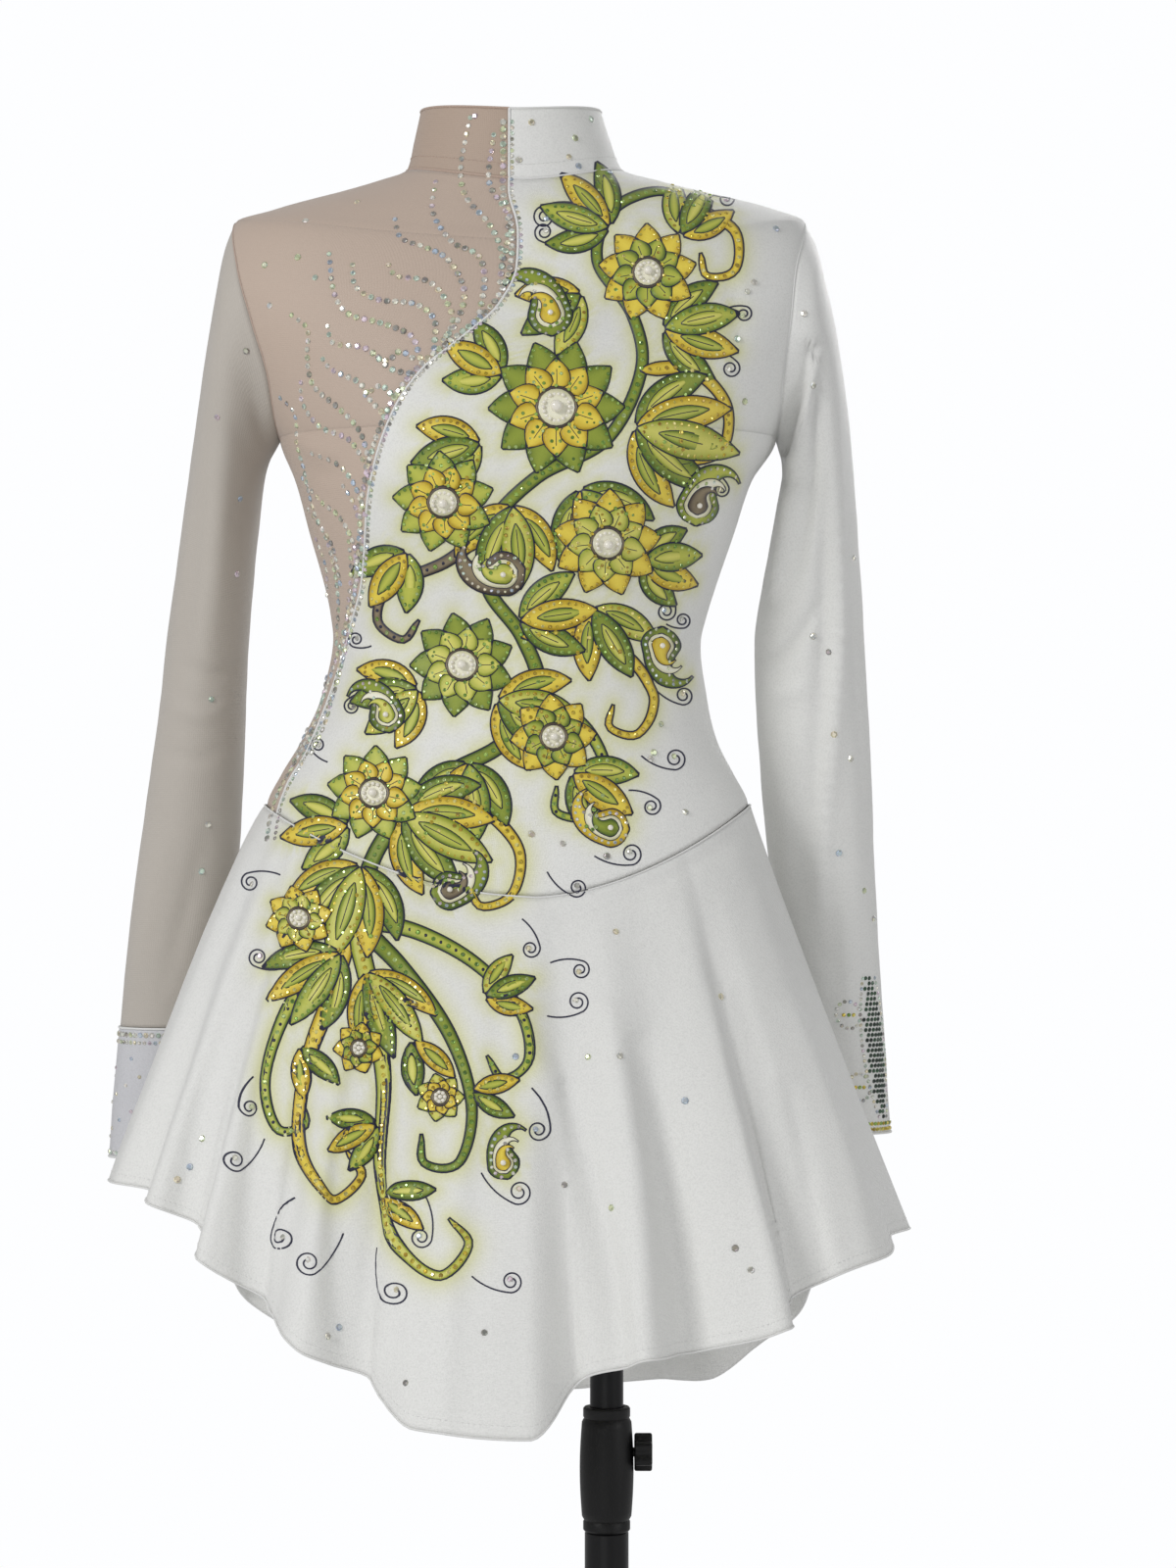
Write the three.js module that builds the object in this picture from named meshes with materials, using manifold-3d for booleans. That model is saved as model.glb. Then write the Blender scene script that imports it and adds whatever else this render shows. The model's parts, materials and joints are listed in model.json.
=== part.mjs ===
// Figure skating dress on a limbless dress form and its adjustable stand.
// Millimetres, +Z up, the front of the dress faces -Y. The origin is on the floor, under the pole's axis.
import * as THREE from 'three';
import { mergeVertices } from 'three/addons/utils/BufferGeometryUtils.js';
import Module from 'manifold-3d';

const wasm = await Module();
wasm.setup();

// ---------------------------------------------------------------- driving dimensions

const DRESS_X = -58; // the dress's centre line stands this far from the pole's axis
const CLOTH = 1.2; // thickness of one layer of cloth
const SEAM_GAP = 0.3; // between two pieces at a seam
const EASE = 1.5; // between the cloth and the form
const FRONT = -1;
const BACK = 1;

// Heights where the side, the shoulder line or the collar passes them
const LEG_TOP = 886;
const SEAM = 973;
const ZIP_END = 1077;
const UNDERARM = 1205;
const SHOULDER = 1343;
const NECK = 1376;
const FORM_TOP = 1395;
const COLLAR_TOP = 1414;
const ARM_DEPTH = 57; // the armhole reaches this far in front of and behind the shoulder line

const BUST = { height: 1186, apart: 72, reach: 46, rise: 7 };
const WAIST_POINT = 0.06; // the waist seam's lowest point, as a share of the front's half girth
const SEAM_CURVE = 1.6; // how sharply the waist seam and the neckline dip at the middle

const ZIP = { x: 0, half: 3, slider: [7.4, 3.4, 10], tab: [6, 1.4, 21] };

const POLE = { radius: 10.65, bottom: 260, top: 860, clearance: 0.35 };
const TUBE = { outer: 14, top: 509.7, bottom: 6.3 };
const CLAMP = { bottom: 510, top: 589, end: 15, belly: 17.2, holeRadius: 3.4, height: 560 };
const KNOB = { inner: 17.6, outer: 29, radius: 12.2, lobes: 6, lobe: 1.6, stemRadius: 3, stemEnd: 12.5 };
const BASE = { radius: 180, thick: 8, hubRadius: 30, hubTop: 42, socketFloor: 6 };
const BORE = POLE.radius + POLE.clearance;

// Triangles: columns across each panel and steps round a section
const ARM_STEPS = 8; // rows of the armhole, from the underarm to the shoulder point
const COLUMNS = { frontLeft: 14, frontRight: 7, back: 8, brief: 16, skirt: 48, form: 32 };
const SKIRT_ROWS = 7;

// ---------------------------------------------------------------- tables

const table = (columns, rows) => rows.map((row) => (
  Object.fromEntries(columns.map((name, i) => [name, row[i]]))
));

// The figure under the dress, from the crotch to the top of the collar: the height at the side, the
// heights of the same ring at the middle of the front and back, half its width, its depths in front
// and behind, how square the section is (2 is an ellipse), and its shift to the wearer's left.
// From the underarm to the shoulder, the half width runs to the armhole seam.
const FIGURE = table(['side', 'front', 'back', 'half', 'frontDepth', 'backDepth', 'square', 'shift'], [
  [786, 786, 786, 34, 0, 0, 2.0, -7],
  [789, 789, 789, 62, 24, 28, 2.0, -7],
  [796, 796, 796, 92, 46, 54, 2.1, -7],
  [808, 808, 808, 120, 68, 78, 2.2, -7],
  [826, 824, 824, 141, 86, 97, 2.3, -7],
  [852, 845, 848, 153, 99, 108, 2.3, -7],
  [886, 866, 876, 158, 104, 113, 2.3, -7],
  [930, 890, 905, 156, 105, 112, 2.3, -7],
  [973, 917, 936, 153, 103, 106, 2.3, -5],
  [992, 950, 962, 144, 100, 99, 2.3, -5],
  [1013, 984, 990, 132.5, 97, 93, 2.3, -4],
  [1040, 1022, 1024, 123, 93, 87, 2.2, -1],
  [1077, 1068, 1068, 117, 90, 83, 2.2, 1],
  [1093, 1088, 1087, 119.6, 93, 84.2, 2.2, 2.1],
  [1110, 1108, 1106, 124, 97, 86, 2.2, 3],
  [1145, 1147, 1144, 135, 109, 92, 2.2, 4],
  [1178, 1180, 1178, 145, 117, 96, 2.2, 5],
  [1205, 1205, 1206, 158, 117, 98, 2.2, 8],
  [1240, 1236, 1240, 161, 112, 100, 2.3, 7],
  [1274, 1266, 1274, 168, 104, 99, 2.3, 4.5],
  [1310, 1295, 1309, 175, 93, 93, 2.3, 1.5],
  [1343, 1322, 1340, 181, 82, 84, 2.3, 3],
  [1350, 1331, 1349, 163, 77, 79, 2.2, 6],
  [1357, 1340, 1358, 139, 73, 74, 2.1, 6],
  [1363, 1348, 1367, 114, 69, 69, 2.0, 4],
  [1370, 1356, 1376, 88, 65, 65, 2.0, 2],
  [1376, 1363, 1384, 69, 62, 61, 2.0, -0.5],
  [1395, 1385, 1402, 62.5, 57.5, 58, 2.0, -2],
  [1414, 1408, 1420, 57.5, 55, 56, 2.0, -3],
]);

// The edge between the mesh and the white cloth on the front: its distance from the dress's centre
// line, towards the wearer's left, at each height
const MESH_EDGE = table(['height', 'x'], [
  [917, -152], [960, -150], [985, -143], [1005, -131], [1022, -124], [1040, -117], [1063, -109],
  [1086, -102], [1109, -95], [1133, -92], [1157, -90], [1185, -84], [1214, -73], [1239, -56],
  [1258, -33], [1280, -9], [1304, 2], [1328, 3], [1356, -3], [1420, -3],
]);

// The brief's leg openings: how far the cloth reaches from the middle, front and back, at each ring
const LEG = table(['side', 'front', 'back'], [
  [786, 34, 34], [789, 40, 47], [796, 50, 70], [808, 68, 96], [826, 92, 120], [852, 123, 141],
  [866, 139, 150], [876, 150.5, 155], [882, 156.6, 157.5], [886, 158, 158],
]);

// The skirt's hem: an ellipse with folds. Each row is a fold's crest or trough, by its angle from the
// middle towards the wearer's left, with how far it stands out from the ellipse and its height
const HEM = { half: 253, front: 205, back: 212, shift: -1.5 };
const FOLDS_FRONT = table(['angle', 'reach', 'height'], [
  [-90, 0, 735], [-73, 7, 738], [-65, -9, 735], [-58, 8, 730], [-51, -14, 716], [-45, 9, 699],
  [-37, -15, 675], [-28, 12, 651], [-20, -16, 633], [-12, 12, 608], [3, 16, 603], [10, -20, 630],
  [19, 6, 646], [27, -12, 648], [39, 12, 660], [45, -17, 673], [52, 5, 690], [61, 11, 697], [74, -6, 705],
  [90, 0, 703],
]);
const FOLDS_BACK = table(['angle', 'reach', 'height'], [
  [-90, 0, 735], [-78, -16, 722], [-66, -30, 702], [-54, -12, 674], [-44, 6, 634], [-34, -14, 608],
  [-23, 12, 592], [-11, -15, 577], [0, 10, 569], [10, -14, 572], [22, 12, 577], [33, -15, 583],
  [40, 0, 605], [46, 8, 626], [54, -8, 654], [66, -30, 674], [78, -14, 692], [90, 0, 703],
]);

// The sleeves below the armhole, a ring a row: the distance from the dress's centre line and the
// height of the ring's outer and inner points, how far back its middle lies, half its depth, and how
// far its front and back stand outwards
const RING = ['outer', 'outerHeight', 'inner', 'innerHeight', 'behind', 'depth', 'swell'];
const SLEEVE_LEFT = table(RING, [
  [192, 1327, 168, 1199, 2, 57, 3], [198.5, 1301, 170, 1192, 4, 56, 4],
  [205, 1270, 170.5, 1184, 7, 54, 4], [210, 1240, 169, 1174, 10, 51, 3],
  [214, 1208, 166.5, 1161, 14, 48, 2], [218, 1168, 163, 1141, 18, 45, 1],
  [221, 1126, 158, 1112, 23, 41, 0], [224, 1084, 153.5, 1078, 29, 38, 0],
  [227, 1042, 154.5, 1042, 35, 37, 0], [229.5, 995, 157.5, 995, 42, 35, 0],
  [232, 944, 162.5, 944, 51, 32.5, 0], [236, 882, 171, 882, 64, 29.5, 0],
  [241, 818, 181, 818, 78, 26, 0], [246, 757, 191, 757, 90, 23.5, 0],
]);
const SLEEVE_RIGHT = table(RING, [
  [184, 1328, 153.5, 1199, 2, 57, 7], [189, 1301, 157, 1193, 4, 56, 9],
  [195, 1269, 160, 1184, 7, 54, 9], [200.5, 1238, 162, 1173, 10, 51, 7],
  [206, 1205, 164, 1160, 14, 48, 5], [212, 1167, 166.5, 1140, 18, 45, 3],
  [218, 1126, 169.5, 1112, 23, 41, 1], [225, 1082, 172.5, 1076, 29, 38, 0],
  [230, 1038, 175, 1038, 35, 36, 0], [237, 994, 177, 994, 42, 34.5, 0],
  [246, 938, 181, 938, 52, 32, 0], [254.5, 880, 190, 880, 64, 29.5, 0],
  [261, 827, 200, 827, 76, 27, 0],
]);
const CUFF_RIGHT = table(RING, [
  [261.5, 827 - SEAM_GAP, 199.5, 827 - SEAM_GAP, 76, 27.6, 0],
  [266, 784, 206, 784, 83, 26, 0],
  [270, 741, 212.5, 741, 90, 25, 0],
]);

// ---------------------------------------------------------------- helpers

// A smooth curve through a table's column that never overshoots its rows
function curve(rows, key, column, at) {
  const last = rows.length - 1;
  const x = Math.min(Math.max(at, rows[0][key]), rows[last][key]);
  let i = 0;
  while (i < last - 1 && x > rows[i + 1][key]) i += 1;
  const span = (k) => rows[k + 1][key] - rows[k][key];
  const slope = (k) => (rows[k + 1][column] - rows[k][column]) / span(k);
  const tangent = (k) => {
    if (k === 0) return slope(0);
    if (k === last) return slope(last - 1);
    const [before, after] = [slope(k - 1), slope(k)];
    return before * after <= 0 ? 0 : (2 * before * after) / (before + after);
  };
  const t = (x - rows[i][key]) / span(i);
  const rise = rows[i + 1][column] - rows[i][column];
  const start = tangent(i) * span(i);
  const end = tangent(i + 1) * span(i);
  const bend = 3 * rise - 2 * start - end;
  return rows[i][column] + t * (start + t * (bend + t * (start + end - 2 * rise)));
}

const mix = (a, b, t) => a + (b - a) * t;
const steps = (count, from = 0, to = 1) => (
  Array.from({ length: count + 1 }, (_, i) => mix(from, to, i / count))
);

// A geometry from vertices and polygons, turned so that its faces point out
function solid(points, polygons) {
  const corners = polygons.flatMap((polygon) => (
    polygon.slice(2).flatMap((_, i) => [polygon[0], polygon[i + 1], polygon[i + 2]])
  ));
  let volume = 0;
  for (let i = 0; i < corners.length; i += 3) {
    const [a, b, c] = [points[corners[i]], points[corners[i + 1]], points[corners[i + 2]]];
    volume += a.dot(b.clone().cross(c));
  }
  if (volume < 0) corners.reverse();
  const geometry = new THREE.BufferGeometry();
  const numbers = points.flatMap((point) => point.toArray());
  geometry.setAttribute('position', new THREE.Float32BufferAttribute(numbers, 3));
  geometry.setIndex(corners);
  return geometry;
}

// A wall of cloth from a grid of { point, normal }: the points are its outer side. A ring's columns
// close on themselves; a panel has a rim all round
function wall(grid, { ring = false, thick = CLOTH } = {}) {
  const rows = grid.length;
  const columns = grid[0].length;
  const outer = grid.flat().map(({ point }) => point);
  const inner = grid.flat().map(({ point, normal }) => point.clone().addScaledVector(normal, -thick));
  const at = (i, j) => i * columns + (j % columns);
  const under = (i, j) => rows * columns + at(i, j);
  const polygons = [];
  const across = ring ? columns : columns - 1;
  for (let j = 0; j < across; j += 1) {
    for (let i = 0; i < rows - 1; i += 1) {
      polygons.push([at(i, j), at(i, j + 1), at(i + 1, j + 1), at(i + 1, j)]);
      polygons.push([under(i, j), under(i + 1, j), under(i + 1, j + 1), under(i, j + 1)]);
    }
    polygons.push([at(0, j), under(0, j), under(0, j + 1), at(0, j + 1)]);
    polygons.push([at(rows - 1, j), at(rows - 1, j + 1), under(rows - 1, j + 1), under(rows - 1, j)]);
  }
  if (!ring) {
    for (let i = 0; i < rows - 1; i += 1) {
      polygons.push([at(i, 0), at(i + 1, 0), under(i + 1, 0), under(i, 0)]);
      const end = columns - 1;
      polygons.push([at(i, end), under(i, end), under(i + 1, end), at(i + 1, end)]);
    }
  }
  return solid([...outer, ...inner], polygons);
}

// The normals of a grid of points, from each point's neighbours
function withNormals(points, ring, outward) {
  const columns = points[0].length;
  return points.map((row, i) => row.map((point, j) => {
    const left = ring ? row[(j + columns - 1) % columns] : row[Math.max(j - 1, 0)];
    const right = ring ? row[(j + 1) % columns] : row[Math.min(j + 1, columns - 1)];
    const below = points[Math.max(i - 1, 0)][j];
    const above = points[Math.min(i + 1, points.length - 1)][j];
    const normal = right.clone().sub(left).cross(above.clone().sub(below)).normalize();
    return { point, normal: normal.multiplyScalar(outward) };
  }));
}

const asManifold = (geometry) => {
  const merged = geometry.clone();
  merged.deleteAttribute('normal');
  merged.deleteAttribute('uv');
  const clean = mergeVertices(merged, 1e-4);
  return new wasm.Manifold(new wasm.Mesh({
    numProp: 3,
    vertProperties: new Float32Array(clean.attributes.position.array),
    triVerts: new Uint32Array(clean.index.array),
  }));
};

const fromManifold = (manifold) => {
  const mesh = manifold.getMesh();
  const geometry = new THREE.BufferGeometry();
  geometry.setAttribute('position', new THREE.Float32BufferAttribute(mesh.vertProperties, 3));
  geometry.setIndex([...mesh.triVerts]);
  return geometry;
};

// ---------------------------------------------------------------- the figure's surface

const MEASURES = Object.keys(FIGURE[0]).filter((column) => column !== 'side');
const section = (side) => Object.fromEntries(
  MEASURES.map((column) => [column, curve(FIGURE, 'side', column, side)]),
);

// Half the armhole's depth at a height
function armholeDepth(side) {
  const rise = (2 * (side - UNDERARM)) / (SHOULDER - UNDERARM) - 1;
  return Math.abs(rise) < 1 ? ARM_DEPTH * Math.sqrt(1 - rise * rise) : 0;
}

// A point of the dress's outer surface. across runs from -1, the wearer's right side seam, armhole or
// shoulder line, through 0, the middle, to 1 on the wearer's left
function figurePoint(across, side, face) {
  const cut = section(side);
  const [depth, middle] = face === FRONT ? [cut.frontDepth, cut.front] : [cut.backDepth, cut.back];
  const power = 2 / cut.square;
  const edge = depth > 0 ? Math.acos(Math.min(armholeDepth(side) / depth, 1) ** (1 / power)) : Math.PI / 2;
  const angle = Math.abs(across) * edge;
  const x = (Math.sign(across) * cut.half * Math.sin(angle) ** power) / Math.sin(edge) ** power;
  const point = face === FRONT ? WAIST_POINT : 0;
  const off = (across - point) / (1 - point * Math.sign(across - point));
  const z = mix(middle, side, Math.abs(Math.sin((off * Math.PI) / 2)) ** SEAM_CURVE);
  let y = depth * Math.max(Math.cos(angle), 0) ** power;
  if (face === FRONT) {
    const apart = (Math.abs(x) - BUST.apart) / BUST.reach;
    const above = (z - BUST.height) / BUST.reach;
    y += BUST.rise * Math.exp(-apart * apart - above * above) * Math.cos(angle);
  }
  return new THREE.Vector3(DRESS_X + cut.shift + x, face * (y + SEAM_GAP / 2), z);
}

// The same point with the surface's normal, which is square to the shoulder and side lines there
function figure(across, side, face) {
  const point = figurePoint(across, side, face);
  if (side <= FIGURE[0].side) return { point, normal: new THREE.Vector3(0, 0, -1) };
  const aside = 0.02;
  const step = 2;
  const right = figurePoint(Math.min(across + aside, 1), side, face);
  const left = figurePoint(Math.max(across - aside, -1), side, face);
  const above = figurePoint(across, Math.min(side + step, COLLAR_TOP), face);
  const below = figurePoint(across, side - step, face);
  const normal = right.sub(left).cross(above.sub(below)).multiplyScalar(-face).normalize();
  if (Math.abs(across) > 0.9999 && armholeDepth(side) === 0) normal.setY(0).normalize();
  return { point, normal };
}

// Where across a ring the surface passes a distance from the dress's centre line
function acrossAt(distance, side, face) {
  let [low, high] = [-1, 1];
  for (let i = 0; i < 40; i += 1) {
    const middle = (low + high) / 2;
    const point = figurePoint(middle, side, face);
    if (point.x - DRESS_X < (typeof distance === 'function' ? distance(point.z) : distance)) low = middle;
    else high = middle;
  }
  return (low + high) / 2;
}

// The rings that the bodice's panels are made on, from the waist seam to the neck
const ARM_RINGS = steps(ARM_STEPS).map((t) => mix(UNDERARM, SHOULDER, (1 - Math.cos(t * Math.PI)) / 2));
const rowsBetween = (low, high) => (
  FIGURE.map(({ side }) => side).filter((side) => side >= low && side <= high)
);
const BODICE_RINGS = [...rowsBetween(SEAM, UNDERARM - 1), ...ARM_RINGS, ...rowsBetween(SHOULDER + 1, NECK)];

const panel = (sides, face, columns, from, to) => sides.map((side) => (
  steps(columns, from(side), to(side)).map((across) => figure(across, side, face))
));

// Moves one row of a panel up or down, to part it from the piece it is sewn to
const shiftRow = (grid, row, rise) => grid.map((points, i) => {
  const lift = i === row ? rise : 0;
  return points.map(({ point, normal }) => ({ point: point.clone().setZ(point.z + lift), normal }));
});

// ---------------------------------------------------------------- the bodice, collar and brief

const meshEdge = (shift) => (side) => (
  acrossAt((height) => curve(MESH_EDGE, 'height', 'x', height) + shift, side, FRONT)
);
const backEdge = (direction) => (side) => {
  const gap = side >= ZIP_END ? ZIP.half + SEAM_GAP : SEAM_GAP / 2;
  return acrossAt(ZIP.x + direction * gap, side, BACK);
};

const BACK_RINGS = [...BODICE_RINGS, ZIP_END - 0.5].sort((a, b) => a - b);
const COLLAR_RINGS = rowsBetween(NECK, COLLAR_TOP);
const ZIP_RINGS = [...BACK_RINGS.filter((side) => side >= ZIP_END), ...COLLAR_RINGS.slice(1)];
const always = (value) => () => value;

const frontLeft = () => wall(
  panel(BODICE_RINGS, FRONT, COLUMNS.frontLeft, meshEdge(SEAM_GAP / 2), always(1)),
);
const frontRight = () => wall(
  panel(BODICE_RINGS, FRONT, COLUMNS.frontRight, always(-1), meshEdge(-SEAM_GAP / 2)),
);
const backLeft = () => wall(panel(BACK_RINGS, BACK, COLUMNS.back, backEdge(1), always(1)));
const backRight = () => wall(panel(BACK_RINGS, BACK, COLUMNS.back, always(-1), backEdge(-1)));

// One half of the stand collar: from the front edge, round the side, to the zip
function collar(direction) {
  const rows = COLLAR_RINGS.map((side) => {
    const shift = (direction * SEAM_GAP) / 2;
    const start = meshEdge(shift)(side);
    const end = backEdge(direction)(side);
    const columns = direction > 0 ? COLUMNS.frontLeft : COLUMNS.frontRight;
    const front = steps(columns, start, direction).slice(0, -1).map((s) => figure(s, side, FRONT));
    const back = steps(COLUMNS.back, direction, end).slice(1).map((s) => figure(s, side, BACK));
    const middle = figure(direction, side, BACK);
    middle.point.y = 0;
    return [...front, middle, ...back];
  });
  return wall(shiftRow(rows, 0, SEAM_GAP));
}

const zipTape = () => wall(ZIP_RINGS.map((side) => (
  [-1, 0, 1].map((share) => figure(acrossAt(ZIP.x + share * ZIP.half, side, BACK), side, BACK))
)));

// The brief's top lies under the skirt's, with rings between the figure's round the leg openings
const BRIEF_DROP = 2;
const LEG_RINGS = [802, 817, 839, 866, 876, 882];
const BRIEF_RINGS = [...rowsBetween(0, SEAM), ...LEG_RINGS].sort((a, b) => a - b);

function brief(face) {
  const column = face === FRONT ? 'front' : 'back';
  const edge = (side) => {
    if (side >= LEG_TOP || side === BRIEF_RINGS[0]) return 1;
    return acrossAt(section(side).shift + curve(LEG, 'side', column, side), side, face);
  };
  const rows = panel(BRIEF_RINGS, face, COLUMNS.brief, (side) => -edge(side), edge);
  return wall(shiftRow(rows, rows.length - 1, -BRIEF_DROP));
}

// ---------------------------------------------------------------- the skirt

// The hem flares out to the side of the seam. across and down run over the panel, from -1 to 1 and
// from the seam at 0 to the hem at 1
function skirtPoint(across, down, face) {
  const angle = (across * Math.PI) / 2;
  const folds = face === FRONT ? FOLDS_FRONT : FOLDS_BACK;
  const degrees = across * 90;
  const reach = curve(folds, 'angle', 'reach', degrees);
  const height = curve(folds, 'angle', 'height', degrees);
  const { point: seam, normal } = figure(across, SEAM, face);
  seam.addScaledVector(normal, CLOTH + SEAM_GAP).setZ(seam.z - SEAM_GAP);
  const depth = face === FRONT ? HEM.front : HEM.back;
  const out = new THREE.Vector2(Math.sin(angle) / HEM.half, (face * Math.cos(angle)) / depth).normalize();
  const bell = 0.95 + 0.1 * Math.sin(angle);
  const flare = down ** bell;
  const fold = reach * down ** 1.15;
  const hemX = DRESS_X + HEM.shift + HEM.half * Math.sin(angle);
  const hemY = face * (depth * Math.cos(angle) + SEAM_GAP / 2);
  return new THREE.Vector3(
    mix(seam.x, hemX, flare) + out.x * fold,
    mix(seam.y, hemY, flare) + out.y * fold,
    mix(seam.z, height, down),
  );
}

function skirt(face) {
  const points = steps(SKIRT_ROWS).map((down) => (
    steps(COLUMNS.skirt, -1, 1).map((across) => skirtPoint(across, down, face))
  ));
  const grid = withNormals(points, false, face);
  for (const row of grid) {
    for (const end of [row[0], row[row.length - 1]]) end.normal.setY(0).normalize();
  }
  return wall(grid);
}

// ---------------------------------------------------------------- the sleeves

// direction is 1 for the wearer's left sleeve, -1 for the right
function sleeveRing(row, direction) {
  return steps(2 * ARM_STEPS).slice(0, -1).map((turn) => {
    const angle = turn * 2 * Math.PI;
    const [cos, sin] = [Math.cos(angle), Math.sin(angle)];
    return new THREE.Vector3(
      DRESS_X + direction * (mix(row.inner, row.outer, (1 + cos) / 2) + row.swell * sin * sin),
      row.behind - row.depth * sin,
      mix(row.innerHeight, row.outerHeight, (1 + cos) / 2),
    );
  });
}

function armholeRing(direction) {
  const edge = (side, face) => {
    const { point } = figure(direction, side, face);
    return point.setX(point.x + direction * SEAM_GAP);
  };
  const down = [...ARM_RINGS].reverse();
  const top = edge(SHOULDER, FRONT).setY(0);
  const bottom = edge(UNDERARM, FRONT).setY(0);
  const front = down.slice(1, -1).map((side) => edge(side, FRONT));
  const back = ARM_RINGS.slice(1, -1).map((side) => edge(side, BACK));
  return [top, ...front, bottom, ...back];
}

// A sleeve's first ring is sewn into the armhole, so its wall stands square to the armhole's plane
function sleeve(rows, direction) {
  const rings = [armholeRing(direction), ...rows.map((row) => sleeveRing(row, direction))];
  const grid = withNormals(rings, true, direction);
  grid[0].forEach(({ normal }) => normal.setX(0).normalize());
  return wall(grid, { ring: true });
}

const cuff = (rows, direction) => (
  wall(withNormals(rows.map((row) => sleeveRing(row, direction)), true, direction), { ring: true })
);

// ---------------------------------------------------------------- the dress form

// The form fills the dress up to the middle of the collar, with a crowned plate in each armhole
function dressForm() {
  const inset = CLOTH + EASE;
  const crown = 3;
  const tipInset = 1.2; // the shoulder's and underarm's ends are rounder than the dress
  const tipReach = 8;
  const half = COLUMNS.form / 2;
  const sides = [
    ...rowsBetween(FIGURE[1].side, UNDERARM - 1), ...ARM_RINGS, ...rowsBetween(SHOULDER + 1, FORM_TOP),
  ];
  const rings = sides.map((side) => {
    const cut = section(side);
    const arm = armholeDepth(side);
    const atTip = [UNDERARM, SHOULDER].some((end) => Math.abs(side - end) < tipReach);
    const loop = [];
    for (const face of [FRONT, BACK]) {
      for (let j = 0; j < half; j += 1) {
        const turn = face === FRONT ? -1 + (2 * j) / half : 1 - (2 * j) / half;
        const { point, normal } = figure(turn, side, face);
        point.addScaledVector(normal, -inset - (atTip ? tipInset : 0));
        if (j === 0) point.y = 0;
        loop.push(point);
      }
    }
    if (arm > 0) {
      for (const [j, direction] of [[0, -1], [half, 1]]) {
        loop[j].x = DRESS_X + cut.shift + direction * (cut.half + crown * (arm / ARM_DEPTH));
      }
    }
    return loop;
  });
  const columns = COLUMNS.form;
  const polygons = [];
  for (let i = 0; i < rings.length - 1; i += 1) {
    for (let j = 0; j < columns; j += 1) {
      const next = (j + 1) % columns;
      const [low, high] = [i * columns, (i + 1) * columns];
      polygons.push([low + j, low + next, high + next, high + j]);
    }
  }
  const lastRow = (rings.length - 1) * columns;
  polygons.push(Array.from({ length: columns }, (_, j) => columns - 1 - j));
  polygons.push(Array.from({ length: columns }, (_, j) => lastRow + j));
  const body = asManifold(solid(rings.flat(), polygons));
  const boreStart = FIGURE[0].side - 16; // below the form's underside
  const boreEnd = POLE.top + SEAM_GAP;
  const bore = new THREE.CylinderGeometry(BORE, BORE, boreEnd - boreStart, 24);
  bore.rotateX(Math.PI / 2).translate(0, 0, (boreEnd + boreStart) / 2);
  return fromManifold(body.subtract(asManifold(bore)));
}

// ---------------------------------------------------------------- the stand

const lathe = (profile, segments) => {
  const geometry = new THREE.LatheGeometry(profile.map(([r, z]) => new THREE.Vector2(r, z)), segments);
  return geometry.rotateX(Math.PI / 2);
};

const pole = () => {
  const chamfer = 1;
  return lathe([
    [0, POLE.bottom], [POLE.radius - chamfer, POLE.bottom], [POLE.radius, POLE.bottom + chamfer],
    [POLE.radius, POLE.top - chamfer], [POLE.radius - chamfer, POLE.top], [0, POLE.top],
  ], 20);
};

const outerTube = () => lathe([
  [BORE, TUBE.bottom], [TUBE.outer, TUBE.bottom], [TUBE.outer, TUBE.top], [BORE, TUBE.top],
  [BORE, TUBE.bottom],
], 24);

const baseDisc = () => {
  const chamfer = 2;
  const socket = TUBE.outer + SEAM_GAP;
  return lathe([
    [0, 0], [BASE.radius, 0], [BASE.radius, BASE.thick - chamfer], [BASE.radius - chamfer, BASE.thick],
    [BASE.hubRadius + 6, BASE.thick + chamfer], [BASE.hubRadius - 4, BASE.thick + 8],
    [BASE.hubRadius - 9, BASE.hubTop - chamfer], [BASE.hubRadius - 11, BASE.hubTop], [socket, BASE.hubTop],
    [socket, BASE.socketFloor], [0, BASE.socketFloor],
  ], 36);
};

// A barrel that grips the pole, with a hole for the knob's screw
function clampCollar() {
  const bulge = steps(6).map((t) => [
    mix(CLAMP.end, CLAMP.belly, Math.sin(t * Math.PI)), mix(CLAMP.bottom, CLAMP.top, t),
  ]);
  const body = lathe([[BORE, CLAMP.bottom], ...bulge, [BORE, CLAMP.top], [BORE, CLAMP.bottom]], 32);
  const hole = new THREE.CylinderGeometry(CLAMP.holeRadius, CLAMP.holeRadius, 16, 16);
  hole.rotateZ(Math.PI / 2).translate(BORE + 7, 0, CLAMP.height);
  return fromManifold(asManifold(body).subtract(asManifold(hole)));
}

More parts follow.
